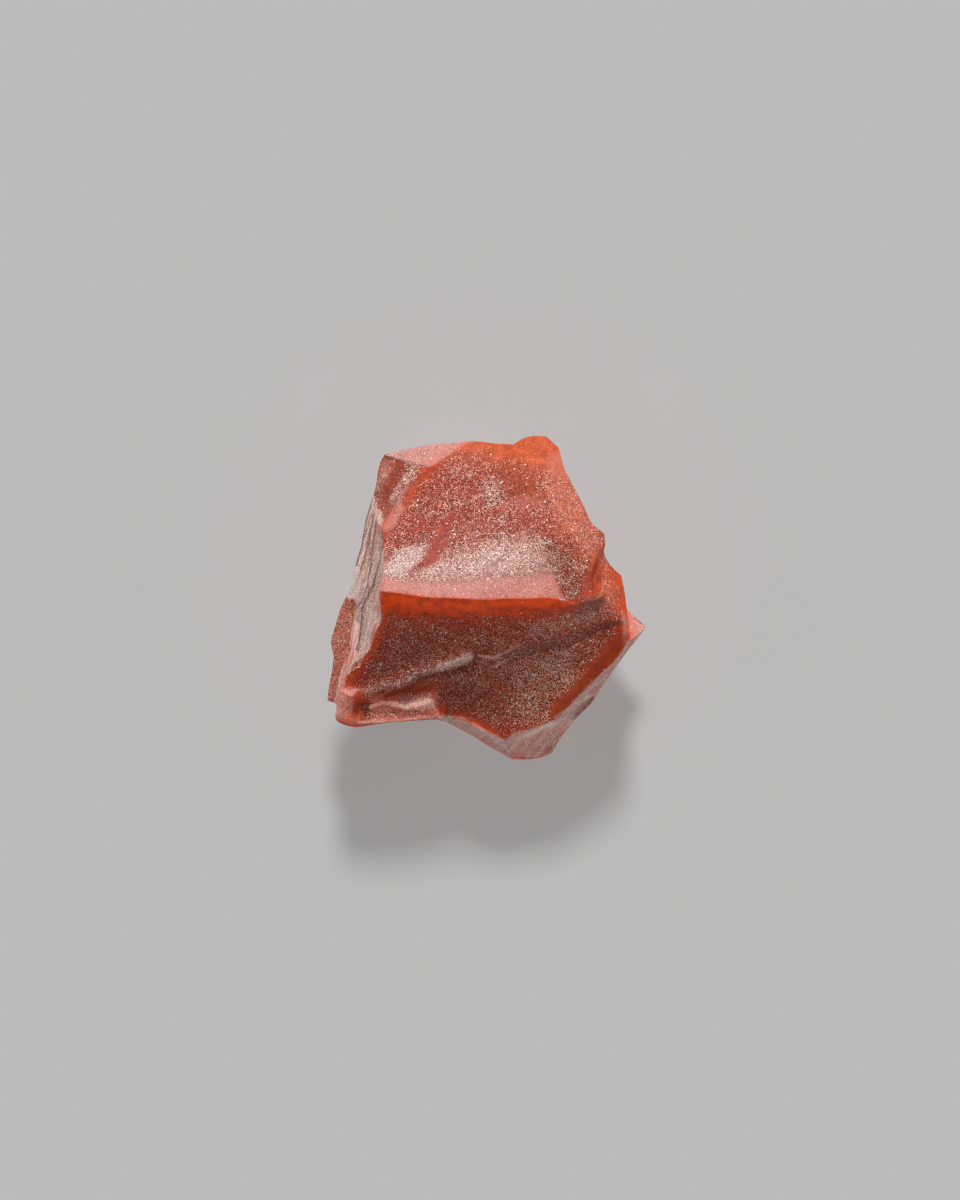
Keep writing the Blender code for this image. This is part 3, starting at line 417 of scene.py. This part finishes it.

# How the stone's tone changes over its faces: warm where it is orange, partly its own colour and partly
# painted glow of light through thin lit edges; pastel and chalky where it is paler or bruised, and where
# sheen, reflection and highlights are painted on faces that catch the light; with many or few pale
# grains;
# glowing or shining with painted light where light comes out of it; and dark in the cracks and with
# painted shade in creases, grooves and under the crest. Each row: the outline or line, the amount, how
# far that reaches beyond it, the width of the change around that, and the way that its faces look.
AREA_TONES = {
    # warm: partly the stone's own orange, and partly painted glow of light through thin lit edges at the
    # bump, the corner point and the shoulder
    "warm": ((BELLY, 0.5, 0.5, 0.1, STEEP), (CHIN, 0.5, 0.5, 0.1, STEEP), (FLANK, 0.5, 0.5, 0.1, STEEP),
             (LEFT_WALL, 0.35, 0.0, 0.1, WEST), (BUMP, 0.9, 0.0, 1.6, UP),
             (CORNER_POINT, 1.0, 0.2, 0.6, ANY), (BLUSH, 0.85, 0.0, 1.4, UP),
             (TIP_FACE, 0.7, 0.0, 0.6, UP), (SHOULDER, 0.8, 0.0, 0.6, UP), (LOBE, 0.7, 0.3, 0.3, ANY),
             (UNDER_CREST, 0.25, 0.0, 0.5, SOUTH), (LIP_FRONT, 0.5, -0.3, 0.3, UP),
             (LOWER_SHEEN, 0.6, -1.0, 4.0, SOUTH)),
    # pastel: partly paler stone, and partly painted pink sheen on faces turned towards the light: the top
    # triangle, the wing, the pink band and the lip
    "pastel": ((TOP_TRIANGLE, 1.0, 0.05, 0.3, UP), (WING, 0.9, 0.3, 0.4, UP),
               (BLUSH, 0.3, 0.0, 1.6, UP), (SMOOTH_BAND, 1.0, -0.5, 1.3, NORTH),
               (SHEEN_BAND, 0.35, -0.8, 2.4, NORTH), (BRIGHT_PATCH, 0.4, -0.5, 1.1, NORTH),
               (RED_WEDGE, 0.1, -0.1, 0.4, NORTH), (LIP_FRONT, 0.6, -0.1, 0.7, UP),
               (LIP_GRAINS, 0.8, 0.0, 0.5, UP), (TIP_FACE, 0.55, 0.0, 0.6, UP),
               (SHOULDER, 0.2, 0.0, 0.6, UP), (LEFT_WALL, 0.5, 0.0, 0.25, WEST),
               (BELLY, 0.35, 0.5, 0.4, STEEP), (CHIN, 0.35, 0.5, 0.4, STEEP),
               (FLANK, 0.3, 0.5, 0.4, STEEP)),
    # chalk: partly pale bruised stone, and partly painted sheen and reflection on faces that catch the
    # light: the wall, the wing, the sheen band, the bright patch, the belly, chin and flank
    "chalk": ((SMOOTH_BAND, 0.10, -0.5, 1.0, NORTH), (LEFT_WALL, 0.42, 0.0, 0.25, WEST),
              (WING, 0.42, 0.3, 0.4, UP), (TOP_TRIANGLE, 0.24, 0.0, 0.3, UP),
              (BLUSH, 0.04, 0.0, 1.2, UP), (SHEEN_BAND, 0.30, -1.4, 3.4, NORTH),
              (BRIGHT_PATCH, 0.48, -0.9, 1.8, NORTH), (RED_WEDGE, 0.0, -0.1, 0.5, NORTH),
              (BELLY, 0.50, 0.5, 0.4, STEEP), (CHIN, 0.40, 0.5, 0.4, STEEP),
              (FLANK, 0.48, 0.5, 0.4, STEEP), (LIP_FRONT, 0.05, -0.1, 0.7, UP),
              (TIP_FACE, 0.4, 0.0, 0.6, UP), (LEAF, 0.15, 0.0, 0.2, UP),
              (GREY_DRIFT, 0.08, -0.6, 1.8, NORTH), (VALLEY_SHEEN, 0.09, -0.2, 1.6, SOUTH),
              (LIP_GRAINS, 0.40, 0.0, 0.5, UP), (CORNER_POINT, 0.15, 0.2, 0.6, ANY)),
    # grains: more pale grains in the sheen band and the bright patch paint part of the sheen there
    "grains": ((LEFT_WALL, 1.1, 0.0, 0.25, WEST), (GREY_DRIFT, 1.1, 0.0, 1.0, NORTH),
               (SHEEN_BAND, 1.0, -1.0, 3.8, NORTH), (SMOOTH_BAND, 0.42, 0.0, 0.7, NORTH),
               (BRIGHT_PATCH, 1.0, 0.0, 0.8, NORTH), (RED_WEDGE, 0.25, -0.1, 0.5, NORTH),
               (DIM_SIDE, 0.9, 0.0, 0.6, UP), (RED_DRIFT, 0.42, 0.0, 1.5, NORTH),
               (BLUSH, 0.62, 0.0, 1.5, UP), (LEAF, 0.8, 0.0, 0.2, UP), (BUMP, 0.3, 0.3, 1.0, UP),
               (TOP_TRIANGLE, 0.55, 0.1, 0.3, UP), (LOWER_SHEEN, 1.05, -1.0, 5.0, SOUTH),
               (UPPER_HOLLOW, 0.75, 0.0, 3.0, SOUTH), (LIP_GRAINS, 1.1, 0.0, 0.6, UP),
               (STEP_FACET, 0.4, 0.0, 0.4, UP), (LOBE, 0.95, 0.2, 0.3, ANY),
               (UNDER_CREST, 0.35, 0.0, 0.6, SOUTH), (VALLEY_SHEEN, 1.1, -0.2, 1.6, SOUTH)),
    # glow: painted glow of light through thin stone, put into the colour
    "glow": ((HOLLOW, 0.0, 0.0, 1.0, SOUTH), (WING, 0.1, 0.6, 0.3, ANY),
             (TOP_TRIANGLE, 0.0, 0.4, 0.3, ANY), (BELLY, 0.1, 0.6, 0.3, ANY),
             (CHIN, 0.12, 0.6, 0.3, ANY), (FLANK, 0.1, 0.6, 0.3, ANY), (STEP_FACET, 0.4, 0.0, 0.3, UP),
             (SHOULDER, 0.25, 0.0, 0.3, UP), (LOBE, 0.15, 0.0, 0.3, ANY),
             (UNDER_CREST, 0.2, 0.0, 0.6, SOUTH)),
    # shine: painted light, as emission, that lifts the lip and the tip's face out of the crest's shade
    "shine": ((LIP_FRONT, 0.2, -0.2, 0.3, UP), (LIP_GRAINS, 0.5, 0.0, 0.3, UP),
              (TIP_FACE, 0.6, 0.0, 0.3, UP)),
    # dark: darker stone in the hollow and in drifts, and painted shade on the dim side and in the chip's
    # hollow
    "dark": ((HOLLOW, 0.08, 0.0, 2.0, SOUTH), (UPPER_HOLLOW, 0.18, 0.0, 3.0, SOUTH),
             (LOBE, 0.15, 0.2, 0.3, ANY), (DIM_SIDE, 0.22, 0.0, 0.6, UP),
             (STEP_FACET, 0.05, 0.0, 0.3, UP), (RED_DRIFT, 0.15, 0.0, 2.0, NORTH),
             (LEAF, 0.5, 0.0, 0.2, UP), (BELLY, 0.2, 0.3, 0.3, ANY), (FLANK, 0.22, 0.3, 0.3, ANY),
             (CHIP, 0.4, -0.1, 0.25, UP)),
}
LINE_TONES = {
    # warm: painted glow of light through the thin lit rims at the top and on the crown's right side
    "warm": ((TOP_RIM, 0.75, 0.5, 2.2, NORTH), (CROWN_RIGHT_RIM, 0.6, 0.4, 1.5, NORTH),
             (LIP_RIM, 0.2, 0.1, 0.2, UP)),
    # pastel: painted highlight lines on the curls, and paler stone at the corner and in the pink streak
    "pastel": ((CURL_ABOVE, 0.3, 0.1, 0.25, SOUTH), (CURL_BELOW, 0.2, 0.1, 0.2, SOUTH),
               (CORNER_PALE, 0.35, 0.4, 0.6, UP), (PINK_STREAK, 0.4, 0.2, 1.2, NORTH),
               (CORNER_DARK, 0.0, 0.4, 0.8, UP)),
    # chalk: painted highlights: the glint on the wall, the white strip at the tip, and light lines along
    # the rims, the crest, the ridge, the curls, the leaf and the lip's streak
    "chalk": ((WALL_GLINT, 1.0, 0.5, 0.4, WEST), (TIP_STRIP, 1.0, 0.35, 0.3, UP),
              (WING_RIM, 0.8, 0.15, 0.3, UP), (BELLY_LINE, 1.0, 0.15, 0.25, UP),
              (CHIP_LINE, 0.9, 0.1, 0.25, UP), (CREST, 0.14, 0.2, 0.7, SOUTH),
              (CREST_TOP, 0.5, 0.3, 0.6, SOUTH), (RIDGE, 0.45, 0.0, 0.25, NORTH),
              (CURL_ABOVE, 0.5, 0.05, 0.25, SOUTH), (CURL_BELOW, 0.35, 0.0, 0.25, SOUTH),
              (LEAF_LINE, 0.6, 0.05, 0.2, UP), (LIP_STREAK, 0.95, 0.15, 0.35, UP),
              (LIP_RIM, 0.45, 0.1, 0.3, UP), (CHIN_LINE, 0.95, 0.1, 0.3, UP),
              (CORNER_BAND, 0.14, 0.5, 0.7, UP), (CORNER_PALE, 0.25, 0.5, 0.5, UP)),
    "grains": ((CROWN_LEFT_RIM, 0.45, 0.3, 1.0, NORTH), (TOP_RIM, 0.25, 0.8, 2.0, NORTH),
               (CREST, 1.0, 0.4, 0.8, SOUTH), (CORNER_BAND, 1.1, 0.7, 0.6, UP),
               (CORNER_DARK, 0.4, 0.3, 0.6, UP), (LOWER_RIGHT_RIM, 0.1, 1.5, 1.2, INWARD),
               (LOWER_LEFT_RIM, 0.2, 0.7, 0.8, INWARD), (RIDGE, 0.1, 0.0, 2.8, SOUTH)),
    # glow: painted glow of light through the thin rims
    "glow": ((RIDGE, 0.95, 0.2, 1.8, SOUTH), (HOLLOW_LEFT_RIM, 0.55, 0.2, 0.9, SOUTH),
             (LOWER_LEFT_RIM, 0.6, 0.2, 0.8, INWARD), (LOWER_RIGHT_RIM, 0.6, 0.8, 1.3, INWARD),
             (RIGHT_RIM, 0.8, 0.4, 0.7, UP), (TIP_GROOVE, 0.85, 0.5, 0.25, UP),
             (TIP_FOOT, 0.65, 0.5, 0.4, UP), (LIP_END, 0.6, 0.15, 0.2, UP),
             (CHIN_RIM, 0.5, 0.25, 0.3, ANY), (CROWN_LEFT_RIM, 0.30, 0.4, 0.9, NORTH)),
    # shine: painted light, as emission, along the ridge and rims, and painted highlights on the tip's
    # strip and the lip's streak
    "shine": ((RIDGE, 1.0, 0.1, 2.0, SOUTH), (HOLLOW_LEFT_RIM, 0.45, 0.2, 0.7, SOUTH),
              (LOWER_LEFT_RIM, 0.6, 0.1, 0.7, INWARD), (LOWER_RIGHT_RIM, 0.0, 0.5, 0.4, INWARD),
              (RIGHT_RIM, 0.6, 0.2, 0.8, INWARD), (TIP_STRIP, 0.9, 0.3, 0.12, UP),
              (LIP_STREAK, 1.1, 0.2, 0.15, UP), (TIP_GROOVE, 0.15, 0.4, 0.2, UP),
              (TIP_FOOT, 0.4, 0.5, 0.3, UP), (CHIN_RIM, 0.35, 0.2, 0.25, ANY)),
    # dark: painted shade under the crest, at its end, in the valley, at the triangle's foot, under the
    # lip's streak, by the lobe, in the tip's groove, at the corner and along the wall's ledges; along the
    # lower right rim it darkens the glow
    "dark": ((CREST_FOOT, 0.3, 0.05, 0.3, SOUTH), (CREST_END, 0.6, 0.1, 0.3, SOUTH),
             (VALLEY, 0.4, 0.3, 0.9, SOUTH), (TRIANGLE_FOOT, 0.35, 0.05, 0.2, UP),
             (LIP_SHADE, 0.3, 0.05, 0.3, UP), (LOBE_SHADE, 0.3, 0.1, 0.6, UP),
             (TIP_GROOVE, 0.3, 0.3, 0.3, UP), (CORNER_DARK, 0.2, 0.3, 0.6, UP),
             (LOWER_RIGHT_RIM, 0.5, 0.9, 1.5, INWARD))
            + tuple((ledge, 0.65, 0.05, 0.2, WEST) for ledge in WALL_LEDGES),
}

# Every face starts with this many grains. Lines and outlines waver by the drift, and the upper faces
# that look north, towards the light, get only a part of the painted glow of light through thin stone.
START_GRAINS = 0.72
NORTH_GLOW_SHARE = 0.3
LONG_FADES = ("glow", "shine", "warm")
DRIFT_LENGTH = 1.6 * MM
DRIFT_REACH = 0.2
DRIFT_SEED = 2

# The faces below have no such places, and only drift from one tone to another in large patches. Each
# row: how much of the tone they have where they have least of it, and where they have most. The
# length of a tone's name puts its patches at other places than those of the next tone.
LOWER_TONES = {"warm": (0.0, 0.5), "pastel": (-0.15, 0.6), "chalk": (-0.15, 0.35), "grains": (1.15, 0.45)}
LOWER_PATCH = 9.0 * MM
PATCH_RANGE = (-0.5, 0.5)
FACE_CHANGE = 0.9

# Each row: the tone that runs in streaks, their direction, width, length and strength, and the way
# that their faces look.
STREAKS = (("chalk", (0.24, 0.97), 0.30, 6.0, 1.7, WEST),
           ("chalk", (0.78, 0.63), 0.45, 3.0, 0.9, SOUTH),
           ("grains", (0.87, 0.50), 0.8, 5.0, 0.45, NORTH),
           ("grains", (0.85, -0.53), 0.9, 6.0, 0.35, SOUTH))

surface = Surface(stone)
noise.seed_set(DRIFT_SEED)
surface.plan += [(noise.noise_vector(place) * DRIFT_REACH)[:2]
                 for place in surface.places / DRIFT_LENGTH]
for name in AREA_TONES:
    tone = np.full(len(surface.plan), START_GRAINS if name == "grains" else 0.0)
    # The painted glow starts from the light through thin stone and at the rims, less on faces that look
    # north towards the light
    if name == "glow":
        tone = np.maximum(soften(thin, *THIN_RANGE), rim_light)
        tone *= 1 - (1 - NORTH_GLOW_SHARE) * surface.facing(*NORTH)
    marks = [(surface.outline(shape), *rest) for shape, *rest in AREA_TONES[name]]
    marks += [(surface.line(shape)[0], *rest) for shape, *rest in LINE_TONES[name]]
    if name in LOWER_TONES:
        patches = surface.places / LOWER_PATCH + surface.normals * FACE_CHANGE + len(name)
        share = soften(np.array([noise.noise(patch) for patch in patches]), *PATCH_RANGE)
        least, most = LOWER_TONES[name]
        lower = np.maximum(least + (most - least) * share, 0.0)
        tone += (lower - tone) * (1 - soften(surface.normals[:, 2], *UPPER_FACES))
    for distance, amount, reach, change, way in marks:
        if name in LONG_FADES:
            share = np.exp(-np.maximum(distance - reach, 0.0) / change)
        else:
            share = 1 - soften(distance, reach, reach + change)
        tone += (amount - tone) * share * surface.facing(*way)
    for streaked, (run_x, run_y), width, length, strength, way in STREAKS:
        if name == streaked:
            along = surface.plan @ np.array((run_x, run_y)) / length
            across = surface.plan @ np.array((run_y, -run_x)) / width
            waves = [noise.noise(Vector((*pair, 0.0))) for pair in zip(across, along)]
            tone *= 1 + strength * np.array(waves) * surface.facing(*way)
    attribute = stone.data.attributes.new(name, "FLOAT", "POINT")
    attribute.data.foreach_set("value", tone)


class Nodes:
    """A short way to add nodes to a material and join them."""

    def __init__(self, name):
        self.material = bpy.data.materials.new(name)
        self.material.use_nodes = True
        self.tree = self.material.node_tree
        self.shader = self.tree.nodes["Principled BSDF"]

    def add(self, kind, inputs=None, **settings):
        node = self.tree.nodes.new("ShaderNode" + kind)
        for name, value in settings.items():
            setattr(node, name, value)
        for name, value in (inputs or {}).items():
            self.join(value, node.inputs[name])
        return node

    def join(self, value, socket):
        if isinstance(value, bpy.types.NodeSocket):
            self.tree.links.new(value, socket)
        else:
            socket.default_value = value

    def painted(self, name):
        return self.add("Attribute", attribute_name=name).outputs["Fac"]

    def math(self, operation, first, second=0.0, clamp=False):
        node = self.add("Math", {0: first, 1: second}, operation=operation, use_clamp=clamp)
        return node.outputs[0]

    def vector(self, operation, first, second):
        last = "Scale" if operation == "SCALE" else 1
        return self.add("VectorMath", {0: first, last: second}, operation=operation).outputs[0]

    def spread(self, value, low, high, out_low=0.0, out_high=1.0):
        node = self.add("MapRange", {"Value": value, "From Min": low, "From Max": high,
                                     "To Min": out_low, "To Max": out_high})
        return node.outputs["Result"]

    def blend(self, share, first, second):
        node = self.add("Mix", {"Factor": share, 6: first, 7: second}, data_type="RGBA")
        return node.outputs[2]


# The jasper itself: a clouded red, with pale grains, dark pits between them and orange edges with
# painted glow of light through thin stone
DARK_RED = (0.06, 0.006, 0.002, 1.0)
DEEP_RED = (0.27, 0.020, 0.008, 1.0)
PALE_RED = (0.50, 0.060, 0.025, 1.0)
# Warm, pastel and chalk are partly the stone's own colours, and partly painted light: glow through thin
# lit edges in the warm, sheen, reflection and highlights in the pastel and chalk
WARM_RED = (0.86, 0.155, 0.045, 1.0)
PASTEL_RED = (0.75, 0.22, 0.175, 1.0)
CHALK_AND_SHEEN = (0.88, 0.67, 0.59, 1.0)
PALE_GRAIN = (1.0, 0.63, 0.50, 1.0)
WHITE_GRAIN = (0.93, 0.74, 0.66, 1.0)
# Painted sparkle of light on a few grains
PAINTED_SPARKLE = (1.0, 0.88, 0.82, 1.0)
# Painted glow of light through thin stone, in the colour and as emission
PAINTED_GLOW_ORANGE = (0.80, 0.080, 0.003, 1.0)
LIGHT_THROUGH = (1.0, 0.065, 0.0, 1.0)
THROUGH_STRENGTH = 0.25
# The brown of cracks, also used as painted shade in creases, grooves and under the crest
CRACK_AND_SHADE_BROWN = (0.08, 0.020, 0.008, 1.0)
GRAIN_SIZE = 0.25 * MM
FINE_SIZE = 0.16 * MM
TILT_SIZE = 0.25 * MM
GRAIN_TILT = 0.35
MOTTLE_SIZE = 0.9 * MM
DRIFT_SIZE = 2.2 * MM
BREAKUP_SIZE = 1.5 * MM
CELL_TONE = 0.05
PALE_RISE = 0.06
SPARKLE_SHARE = 0.016
QUARTZ_IOR = 1.54
QUARTZ_SPECULAR = 0.28

# Each range: the two ends of what comes in, and what goes out at them if that isn't 0 and 1
MOTTLE = (0.38, 0.62)
EDGE_PATCHES = (0.35, 0.65, 0.55, 1.2)
GRAIN_DRIFT = (0.32, 0.66, 0.85, 1.15)
GRAINS_IN_GLOW = (0.0, 0.8, 1.0, 0.2)
PALE_LIMIT = (0.2, 1.2, 0.65, 0.502)
PALE_START = (0.0, 0.3)
PITS = (0.51, 0.435)
PITS_IN_CHALK = (0.0, 0.6, 1.0, 0.45)
SPARKLES = (0.0, 1.0, 1.0, 1 - SPARKLE_SHARE)
SPARKLE_EDGE = (0.65, 0.40)
WHITE_IN_CHALK = (0.0, 0.5)
GRAIN_ROUGHNESS = (0.0, 0.7, 0.45, 0.30)
SHINE_IN_GRAIN = (0.35, 0.65, 0.5, 1.3)


def jasper_material():
    nodes = Nodes("jasper")
    place = nodes.add("TexCoord").outputs["Object"]

    # Each grain turns its bit of the surface a little, and so catches the light in its own way
    tilts = nodes.add("TexNoise", {"Vector": place, "Scale": 1 / TILT_SIZE, "Detail": 2.0,
                                   "Roughness": 0.7})
    tilt = nodes.vector("SUBTRACT", tilts.outputs["Color"], (0.5, 0.5, 0.5))
    tilt = nodes.vector("SCALE", tilt, GRAIN_TILT)
    normal = nodes.vector("ADD", nodes.add("NewGeometry").outputs["Normal"], tilt)
    nodes.join(nodes.add("VectorMath", {0: normal}, operation="NORMALIZE").outputs[0],
               nodes.shader.inputs["Normal"])

    # Painted light along the broken edges, in patches
    patches = nodes.add("TexNoise", {"Vector": place, "Scale": 1 / BREAKUP_SIZE, "Detail": 2.0})
    breakup = nodes.spread(patches.outputs["Fac"], *EDGE_PATCHES)
    glow = nodes.math("MULTIPLY", nodes.painted("glow"), breakup, clamp=True)
    warm = nodes.math("MULTIPLY", nodes.painted("warm"), breakup, clamp=True)

    # The quartz grains: some are pale and a few carry a painted sparkle of light, others are dark pits
    # between them, and the clear stone of an edge shows hardly any. Where chalk is painted the pale
    # grains turn whiter, and so paint part of the sheen.
    drift = nodes.add("TexNoise", {"Vector": place, "Scale": 1 / DRIFT_SIZE, "Detail": 3.0,
                                   "Distortion": 0.6})
    drift = nodes.spread(drift.outputs["Fac"], *GRAIN_DRIFT)
    plenty = nodes.math("MULTIPLY", nodes.math("MULTIPLY", nodes.painted("grains"), drift),
                        nodes.spread(glow, *GRAINS_IN_GLOW))
    cells = nodes.add("TexVoronoi", {"Vector": place, "Scale": 1 / GRAIN_SIZE}, feature="F1")
    kinds = nodes.add("SeparateColor", {"Color": cells.outputs["Color"]}).outputs
    fine = nodes.add("TexNoise", {"Vector": place, "Scale": 1 / FINE_SIZE, "Detail": 2.0,
                                  "Roughness": 0.7})
    tone = nodes.math("ADD", fine.outputs["Fac"],
                      nodes.spread(kinds["Red"], 0.0, 1.0, -CELL_TONE, CELL_TONE))
    limit = nodes.spread(plenty, *PALE_LIMIT)
    pale = nodes.spread(nodes.math("SUBTRACT", tone, limit), 0.0, PALE_RISE)
    pale = nodes.math("MULTIPLY", pale, nodes.spread(plenty, *PALE_START))
    pit = nodes.math("MULTIPLY", nodes.spread(tone, *PITS), nodes.math("MINIMUM", plenty, 1.0))
    pit = nodes.math("MULTIPLY", pit, nodes.spread(nodes.painted("chalk"), *PITS_IN_CHALK))
    painted_sparkle = nodes.math("GREATER_THAN", kinds["Blue"], nodes.spread(plenty, *SPARKLES))
    painted_sparkle = nodes.math("MULTIPLY", painted_sparkle,
                         nodes.spread(cells.outputs["Distance"], *SPARKLE_EDGE))

    # The red itself is mottled, and the tones of its places, with their painted glow, sheen and shade,
    # the pits and the grains lie over it
    mottle = nodes.add("TexNoise", {"Vector": place, "Scale": 1 / MOTTLE_SIZE, "Detail": 4.0,
                                    "Roughness": 0.75})
    colour = nodes.blend(nodes.spread(mottle.outputs["Fac"], *MOTTLE), DEEP_RED, PALE_RED)
    colour = nodes.blend(warm, colour, WARM_RED)
    colour = nodes.blend(nodes.painted("pastel"), colour, PASTEL_RED)
    colour = nodes.blend(nodes.painted("chalk"), colour, CHALK_AND_SHEEN)
    colour = nodes.blend(glow, colour, PAINTED_GLOW_ORANGE)
    colour = nodes.blend(pit, colour, DARK_RED)
    grain_colour = nodes.blend(nodes.spread(nodes.painted("chalk"), *WHITE_IN_CHALK),
                               PALE_GRAIN, WHITE_GRAIN)
    colour = nodes.blend(pale, colour, grain_colour)
    colour = nodes.blend(painted_sparkle, colour, PAINTED_SPARKLE)
    colour = nodes.blend(nodes.painted("dark"), colour, CRACK_AND_SHADE_BROWN)
    nodes.join(colour, nodes.shader.inputs["Base Color"])
    nodes.join(nodes.spread(pale, *GRAIN_ROUGHNESS), nodes.shader.inputs["Roughness"])
    nodes.shader.inputs["IOR"].default_value = QUARTZ_IOR
    nodes.shader.inputs["Specular IOR Level"].default_value = QUARTZ_SPECULAR

    # Painted orange light, as emission, comes out along the thinnest edges, more through clear grains
    # than dark ones.
    # It also lights the lip, its streak and the tip's face and strip, which lie in the crest's shade.
    shine = nodes.math("MULTIPLY", nodes.painted("shine"), breakup)
    shine = nodes.math("MULTIPLY", shine, nodes.spread(tone, *SHINE_IN_GRAIN), clamp=True)
    nodes.join(nodes.blend(shine, (0.0, 0.0, 0.0, 1.0), LIGHT_THROUGH),
               nodes.shader.inputs["Emission Color"])
    nodes.shader.inputs["Emission Strength"].default_value = THROUGH_STRENGTH
    return nodes.material


stone.data.materials.clear()
stone.data.materials.append(jasper_material())
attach(stone, "root")
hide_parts("jasper_lump")


# The floor is a plain pale sheet that glows a little, as a lit table does, so that the stone's
# shadow stays soft and grey.
FLOOR_REACH = 6.0
FLOOR_GREY = 0.37
FLOOR_GLOW = 0.205


def floor_material():
    nodes = Nodes("pale_floor")
    nodes.shader.inputs["Base Color"].default_value = (FLOOR_GREY, FLOOR_GREY, FLOOR_GREY, 1.0)
    nodes.shader.inputs["Roughness"].default_value = 1.0
    nodes.shader.inputs["Specular IOR Level"].default_value = 0.0
    nodes.shader.inputs["Emission Color"].default_value = (1.0, 1.0, 1.0, 1.0)
    nodes.shader.inputs["Emission Strength"].default_value = FLOOR_GLOW
    return nodes.material


bpy.ops.object.select_all(action="DESELECT")
bpy.ops.mesh.primitive_grid_add(x_subdivisions=2, y_subdivisions=2, size=2 * FLOOR_REACH,
                                location=(0.0, 0.0, stone_low.z))
floor = bpy.context.active_object
floor.name = "pale_floor"
floor.data.materials.append(floor_material())
floor.visible_glossy = False


# The light is a wide soft box beyond the stone's far side, with weak lights at both sides and in
# front, and a little from all round. The lit table sends some up under the stone as well.
BOX_ELEVATION = math.radians(57)
BOX_HALF_SPREAD = math.radians(15)
BOX_HEIGHT = math.radians(32)
BOX_STRENGTH = 0.28 * math.pi
MAIN_ELEVATION = math.radians(40)
MAIN_WIDTH = math.radians(11)
MAIN_STRENGTH = 0.82 * math.pi
FRONT_ELEVATION = math.radians(20)
FRONT_WIDTH = math.radians(14)
FRONT_STRENGTH = 0.06 * math.pi
SIDE_ELEVATION = math.radians(10)
SIDE_WIDTH = math.radians(40)
SIDE_STRENGTH = 0.18 * math.pi
UNDER_REACH = 0.4
UNDER_LIFT = 0.1 * MM
UNDER_GLOW = 0.35
SURROUND = 0.18


def add_sun(name, azimuth, elevation, width, strength):
    """A very distant soft light. Azimuth 0 stands on the +Y side, and turns towards +X."""
    towards = Vector((math.sin(azimuth) * math.cos(elevation),
                      math.cos(azimuth) * math.cos(elevation), math.sin(elevation)))
    light = bpy.data.lights.new(name, "SUN")
    light.angle = width
    light.energy = strength
    lamp = bpy.data.objects.new(name, light)
    lamp.rotation_euler = towards.to_track_quat("Z", "Y").to_euler()
    lamp.location = towards
    bpy.context.scene.collection.objects.link(lamp)
    return lamp


for side in (-1, 1):
    soft_box = add_sun("soft_box", side * BOX_HALF_SPREAD, BOX_ELEVATION, BOX_HEIGHT,
                       BOX_STRENGTH)
    soft_box.visible_diffuse = False
    add_sun("side_light", side * math.pi / 2, SIDE_ELEVATION, SIDE_WIDTH, SIDE_STRENGTH)
main_light = add_sun("main_light", 0.0, MAIN_ELEVATION, MAIN_WIDTH, MAIN_STRENGTH)
main_light.visible_glossy = False
front_light = add_sun("front_light", math.pi, FRONT_ELEVATION, FRONT_WIDTH, FRONT_STRENGTH)
front_light.visible_glossy = False

under = bpy.data.lights.new("table_light", "AREA")
under.shape = "SQUARE"
under.size = UNDER_REACH
under.energy = UNDER_GLOW * math.pi * UNDER_REACH ** 2
under_lamp = bpy.data.objects.new("table_light", under)
under_lamp.location = (0.0, 0.0, stone_low.z + UNDER_LIFT)
under_lamp.rotation_euler = (math.pi, 0.0, 0.0)
under_lamp.visible_camera = False
bpy.context.scene.collection.objects.link(under_lamp)

world = bpy.data.worlds.new("soft_surround")
bpy.context.scene.world = world
world.use_nodes = True
world.node_tree.nodes["Background"].inputs["Color"].default_value = (1.0, 1.0, 1.0, 1.0)
world.node_tree.nodes["Background"].inputs["Strength"].default_value = SURROUND
world.cycles_visibility.glossy = False
bpy.context.scene.view_settings.view_transform = "Standard"


# The camera looks straight down from far off, so that the stone's outline has hardly any perspective.
# A pixel of the picture is 0.15 mm at the height of that outline.
PHOTO_HEIGHT = 1200
PIXEL = 0.15 * MM
PHOTO_MIDDLE = Vector((-1.005 * MM, -0.255 * MM))
SENSOR_LONG_SIDE = 36.0
LENS = 400.0
OUTLINE_HEIGHT = 18.0 * MM

camera = bpy.data.objects.new("camera", bpy.data.cameras.new("camera"))
camera.data.sensor_width = SENSOR_LONG_SIDE
camera.data.lens = LENS
camera.location = (PHOTO_MIDDLE.x, PHOTO_MIDDLE.y,
                   OUTLINE_HEIGHT + PHOTO_HEIGHT * PIXEL * LENS / SENSOR_LONG_SIDE)
bpy.context.scene.collection.objects.link(camera)
bpy.context.scene.camera = camera
bpy.context.scene.cycles.denoising_prefilter = "NONE"
